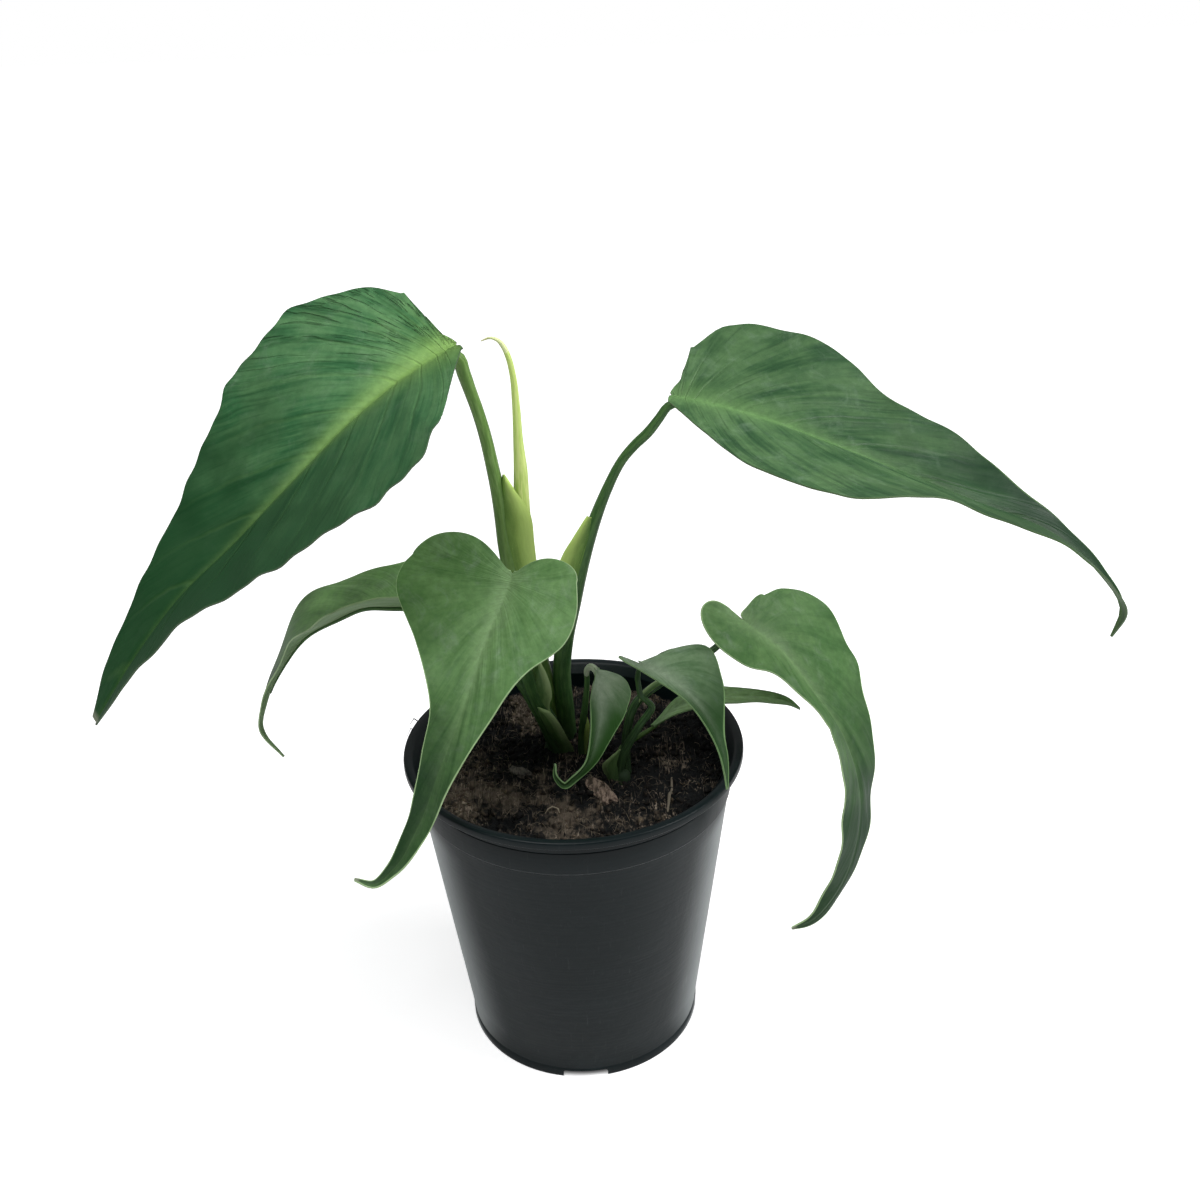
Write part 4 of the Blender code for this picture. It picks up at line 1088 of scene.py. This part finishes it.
peat, ask, result = new_group("peat", {
    "Damp": (.006, .005, .004), "Dry": (.05, .035, .022), "Thread": (.20, .15, .09), "Threads": 1,
    "Dryness": .5})
place = place_on(peat)
zones = speckle(place, 34, 3, .6)
crumbs_fine = speckle(place, 520, 5, .65)
crumbs_wide = speckle(place, 150, 4, .6)
# Painted light: a patch at the front is pushed towards the dry colour, and the rest a little towards the damp one.
sunlit_patch = place.distance((-15 * MM, -42 * MM, 118 * MM)).ramp(.012, .045, .10, -.08)
dry = crumbs_fine * .55 + crumbs_wide * .45 + sunlit_patch + (zones * 1.5 - .75) + (ask["Dryness"] - .5)
threads = (hairs(place, .5, 260).maths("MAXIMUM", hairs(place, 1.9, 330))
           * (zones + crumbs_wide).ramp(.9, 1.15) * ask["Threads"])
earth = layers(ask["Damp"], (dry.ramp(.45, .66), ask["Dry"]), (threads, ask["Thread"]))
feed(result, {"Color": earth, "Roughness": dry * .2 + .72, "Height": crumbs_fine * .8 + threads * .25})


def peat_material(name, damp, dry, **others):
    return group_material(name, peat, dry, .9, .15, damp=damp, dry=dry, **others)


bed.data.materials.clear()
bed.data.materials.append(peat_material(
    "damp peat", (.0035, .0042, .0044), (.088, .071, .053), thread=(.22, .18, .14), dryness=.46))
keep(bed, "potting_mix", "soil", angle=75)

# %% [markdown]
# ## Crumbs and fibres
# Up close the bed is loose: crumbs of peat lie on it in hundreds, and coir fibres stick out in all directions.
# Each crumb is one small icosphere of twenty faces, stretched and turned, and each fibre a bent thread of
# three sides. A seeded random generator scatters them, so that every run gives the same pot. All crumbs are
# one mesh and all fibres another, which keeps the table of pieces short.

# %% Scatter helpers
dice = np.random.default_rng(7)
CLEARANCE = 57       # mm from the middle that loose bits keep to
INSIDE = 58.3        # mm from the middle that no fibre passes


def scatter_place():
    """A place on the bed, evenly spread over the disc."""
    radius, angle = CLEARANCE * math.sqrt(dice.random()), dice.random() * 2 * math.pi
    return radius * math.cos(angle), radius * math.sin(angle)


def from_parts(name, points, faces, material):
    """One piece of the mix from many loose parts that were worked out in code, in mm."""
    mesh = bpy.data.meshes.new(name)
    mesh.from_pydata([tuple(point * MM) for point in points], [], faces)
    mesh.materials.append(material)
    keep(placed(name, mesh), "potting_mix", angle=180)


# %% Crumbs
bpy.ops.mesh.primitive_ico_sphere_add(subdivisions=1, radius=1)
pattern = bpy.context.object
shape = np.array([tuple(vertex.co) for vertex in pattern.data.vertices])
sides = [tuple(face.vertices) for face in pattern.data.polygons]
bpy.data.objects.remove(pattern)
CRUMBS = 1500
points, faces = [], []
for number in range(CRUMBS):
    x, y = scatter_place()
    size = .35 + 1.3 * dice.random()**3.2
    turn = np.array(Matrix.Rotation(dice.random() * 6.28, 3, Vector(dice.normal(size=3))))
    lump = shape * (1 + .35 * dice.normal(size=(len(shape), 1))) * size * np.array([1.2, .9, .7])
    z = mix_height(x, y) + .15 * size
    faces += [tuple(len(points) + corner for corner in side) for side in sides]
    points += list(lump @ turn.T + (x, y, z))
from_parts("peat_crumbs", points, faces, peat_material(
    "peat crumbs", (.007, .0065, .006), (.080, .063, .046), threads=.4, dryness=.48))


# %% Fibres
def thread_mesh(route, radius, points, faces):
    """Adds a three sided thread along a route of points to the lists."""
    route = np.asarray(route, float)
    places, front, side, _ = route_frames(route, (.1, .2, 1), len(route))
    first = len(points)
    for step, place in enumerate(places):
        thin = radius * (.35 if step in (0, len(places) - 1) else 1)
        for corner in range(3):
            turn = 2 * math.pi * corner / 3
            points.append(place + thin * (math.cos(turn) * front[step] + math.sin(turn) * side[step]))
    for step in range(len(places) - 1):
        for corner in range(3):
            a, b = first + 3 * step + corner, first + 3 * step + (corner + 1) % 3
            faces.append((a, b, b + 3, a + 3))
    last = first + 3 * (len(places) - 1)
    faces += [(first + 2, first + 1, first), (last, last + 1, last + 2)]


def fibre_route(x, y, length, lift, bend):
    heading = dice.random() * 2 * math.pi
    route = []
    for share in np.linspace(0, 1, 6):
        route.append((x, y, mix_height(x, y) + .12 + lift * math.sin(math.pi * share)))
        heading += bend * (dice.random() - .4)
        x, y = x + length / 5 * math.cos(heading), y + length / 5 * math.sin(heading)
    return route


FIBRES, FIBRE_FACES = 700, 17
points, faces = [], []
while len(faces) < FIBRES * FIBRE_FACES:
    x, y = scatter_place()
    if noise.noise(Vector((x, y, 0)) * .05 + Vector((2, 0, 0))) < dice.random() * .9 - .55:
        continue
    route = fibre_route(x, y, 2 + 6 * dice.random()**1.8, .2 + .9 * dice.random(), .6)
    if max(math.hypot(x, y) for x, y, _ in route) < INSIDE:
        thread_mesh(route, .05 + .06 * dice.random(), points, faces)
straw, tree, shader = new_material("coir", (.16, .12, .075), .8, .3)
place = place_on(tree)
paint(shader, layers((.040, .032, .024), (speckle(place, 160).ramp(.35, .65), (.17, .14, .10))),
      speckle(place, 900) * .2 + .7)
from_parts("coir_fibres", points, faces, straw)

# %% [markdown]
# ## Bits on the mix
# A few pieces are big enough to know again: a reddish flake of bark in front, a grey chip further left, a thin
# twig, a curled pale fibre, and two dark threads that hang over the rim. A flake of bark splits in layers, so
# it starts as a cube, is subdivided, and its points are pushed about by noise in flat layers.


# %% Bark and chips
def chip(name, at, size, turn, tilt, material, cad_node):
    bpy.ops.mesh.primitive_cube_add(size=1)
    piece = named(name)
    bpy.ops.object.mode_set(mode="EDIT")
    bpy.ops.mesh.subdivide(number_cuts=9)
    bpy.ops.object.mode_set(mode="OBJECT")
    middle = Vector((*at, mix_height(*at) + .38 * size[2]))
    spin = Matrix.Rotation(math.radians(turn), 3, "Z") @ Matrix.Rotation(math.radians(tilt), 3, "X")
    for vertex in piece.data.vertices:
        raw = Vector(vertex.co)
        rough = Vector((noise.noise(raw * 3.1), noise.noise(raw * 3.1 + Vector((9, 0, 0))),
                        noise.noise(raw * 2.3 + Vector((0, 9, 0)))))
        layer = .10 * math.copysign(1, math.sin(raw.z * 22)) * abs(raw.y)
        narrow = 1 - .35 * abs(raw.x * 2)**2.5
        shaped = Vector((raw.x + .22 * rough.x, (raw.y + .20 * rough.y + layer) * narrow, raw.z + .35 * rough.z))
        vertex.co = (spin @ (shaped * Vector(size)) + middle) * MM
    piece.data.materials.append(material)
    keep(piece, "bark", cad_node, angle=40)


def bark_material(name, dark, light):
    material, tree, shader = new_material(name, light, .85, .25)
    place = place_on(tree)
    grain = speckle(place.stretched(1.6, .45, 1.6), 620, 4, .65, .4)
    fleck = speckle(place, 1500, 3, .6)
    tone = layers(dark, (grain.ramp(.36, .64), light), (fleck.ramp(.55, .75, 0, .4), (.02, .015, .012)))
    paint(shader, tone, grain * .2 + .7, grain + fleck * .4, .6 * MM)
    return material


chip("bark_flake", (10, -25.5), (16, 5.5, 2.6), -60, 14,
     bark_material("red bark", (.030, .021, .015), (.25, .185, .145)), "bark_chip_1")
chip("grey_chip", (-21, -8), (8, 5, 2.4), -35, -10,
     bark_material("grey chip", (.05, .045, .038), (.15, .135, .115)), "bark_chip_2")

# %% Twig and single fibres
twig_route = [(x, y, mix_height(x, y) + lift) for x, y, lift in (
    (37, -12, .7), (36.5, -18, 1.2), (35.4, -24, 1.1), (34.8, -30, 1.2), (34, -36, .7))]
stalk("dry_twig", twig_route, (.45, .6, .7, .6, .4), stalk_material(
    "twig", (.10, .085, .06), (.20, .18, .14), edge=(.24, .22, .18), foot=(.14, .12, .09)),
      "twig", rows=40, columns=10, ridge=.12, facing=(0, 0, 1))
for name, material, threads in (
        ("pale_threads", peat_material("pale fibre", (.16, .13, .09), (.40, .35, .26)), (
            (.4, [(-10.6, -36.4, 119.6), (-9.4, -34.6, 120.4), (-7.6, -34, 120.8), (-5.9, -34.8, 120.6),
                  (-5.2, -36.7, 119.8)]),
            (.5, [(37, 33, 118.4), (38.3, 34.1, 119.2), (39.4, 34.4, 118.6)]),
            (.12, [(-44, 6, 118), (-45, 8, 120), (-45.6, 9, 123), (-45.4, 9.6, 126)]))),
        ("rim_threads", peat_material("dark thread", (.006, .005, .004), (.03, .022, .015)), (
            (.3, [(-57, 19, 118.6), (-60, 19.6, 124), (-62.6, 19.8, 127.4), (-64.2, 19.4, 127.5),
                  (-65.2, 18.8, 125)]),
            (.24, [(-57, 12, 118.6), (-60.4, 12.4, 124.6), (-63, 12.8, 127.5), (-64.6, 12.2, 127.3),
                   (-65.4, 11.4, 124.6)])))):
    points, faces = [], []
    for radius, route in threads:
        thread_mesh(route, radius, points, faces)
    from_parts(name, points, faces, material)
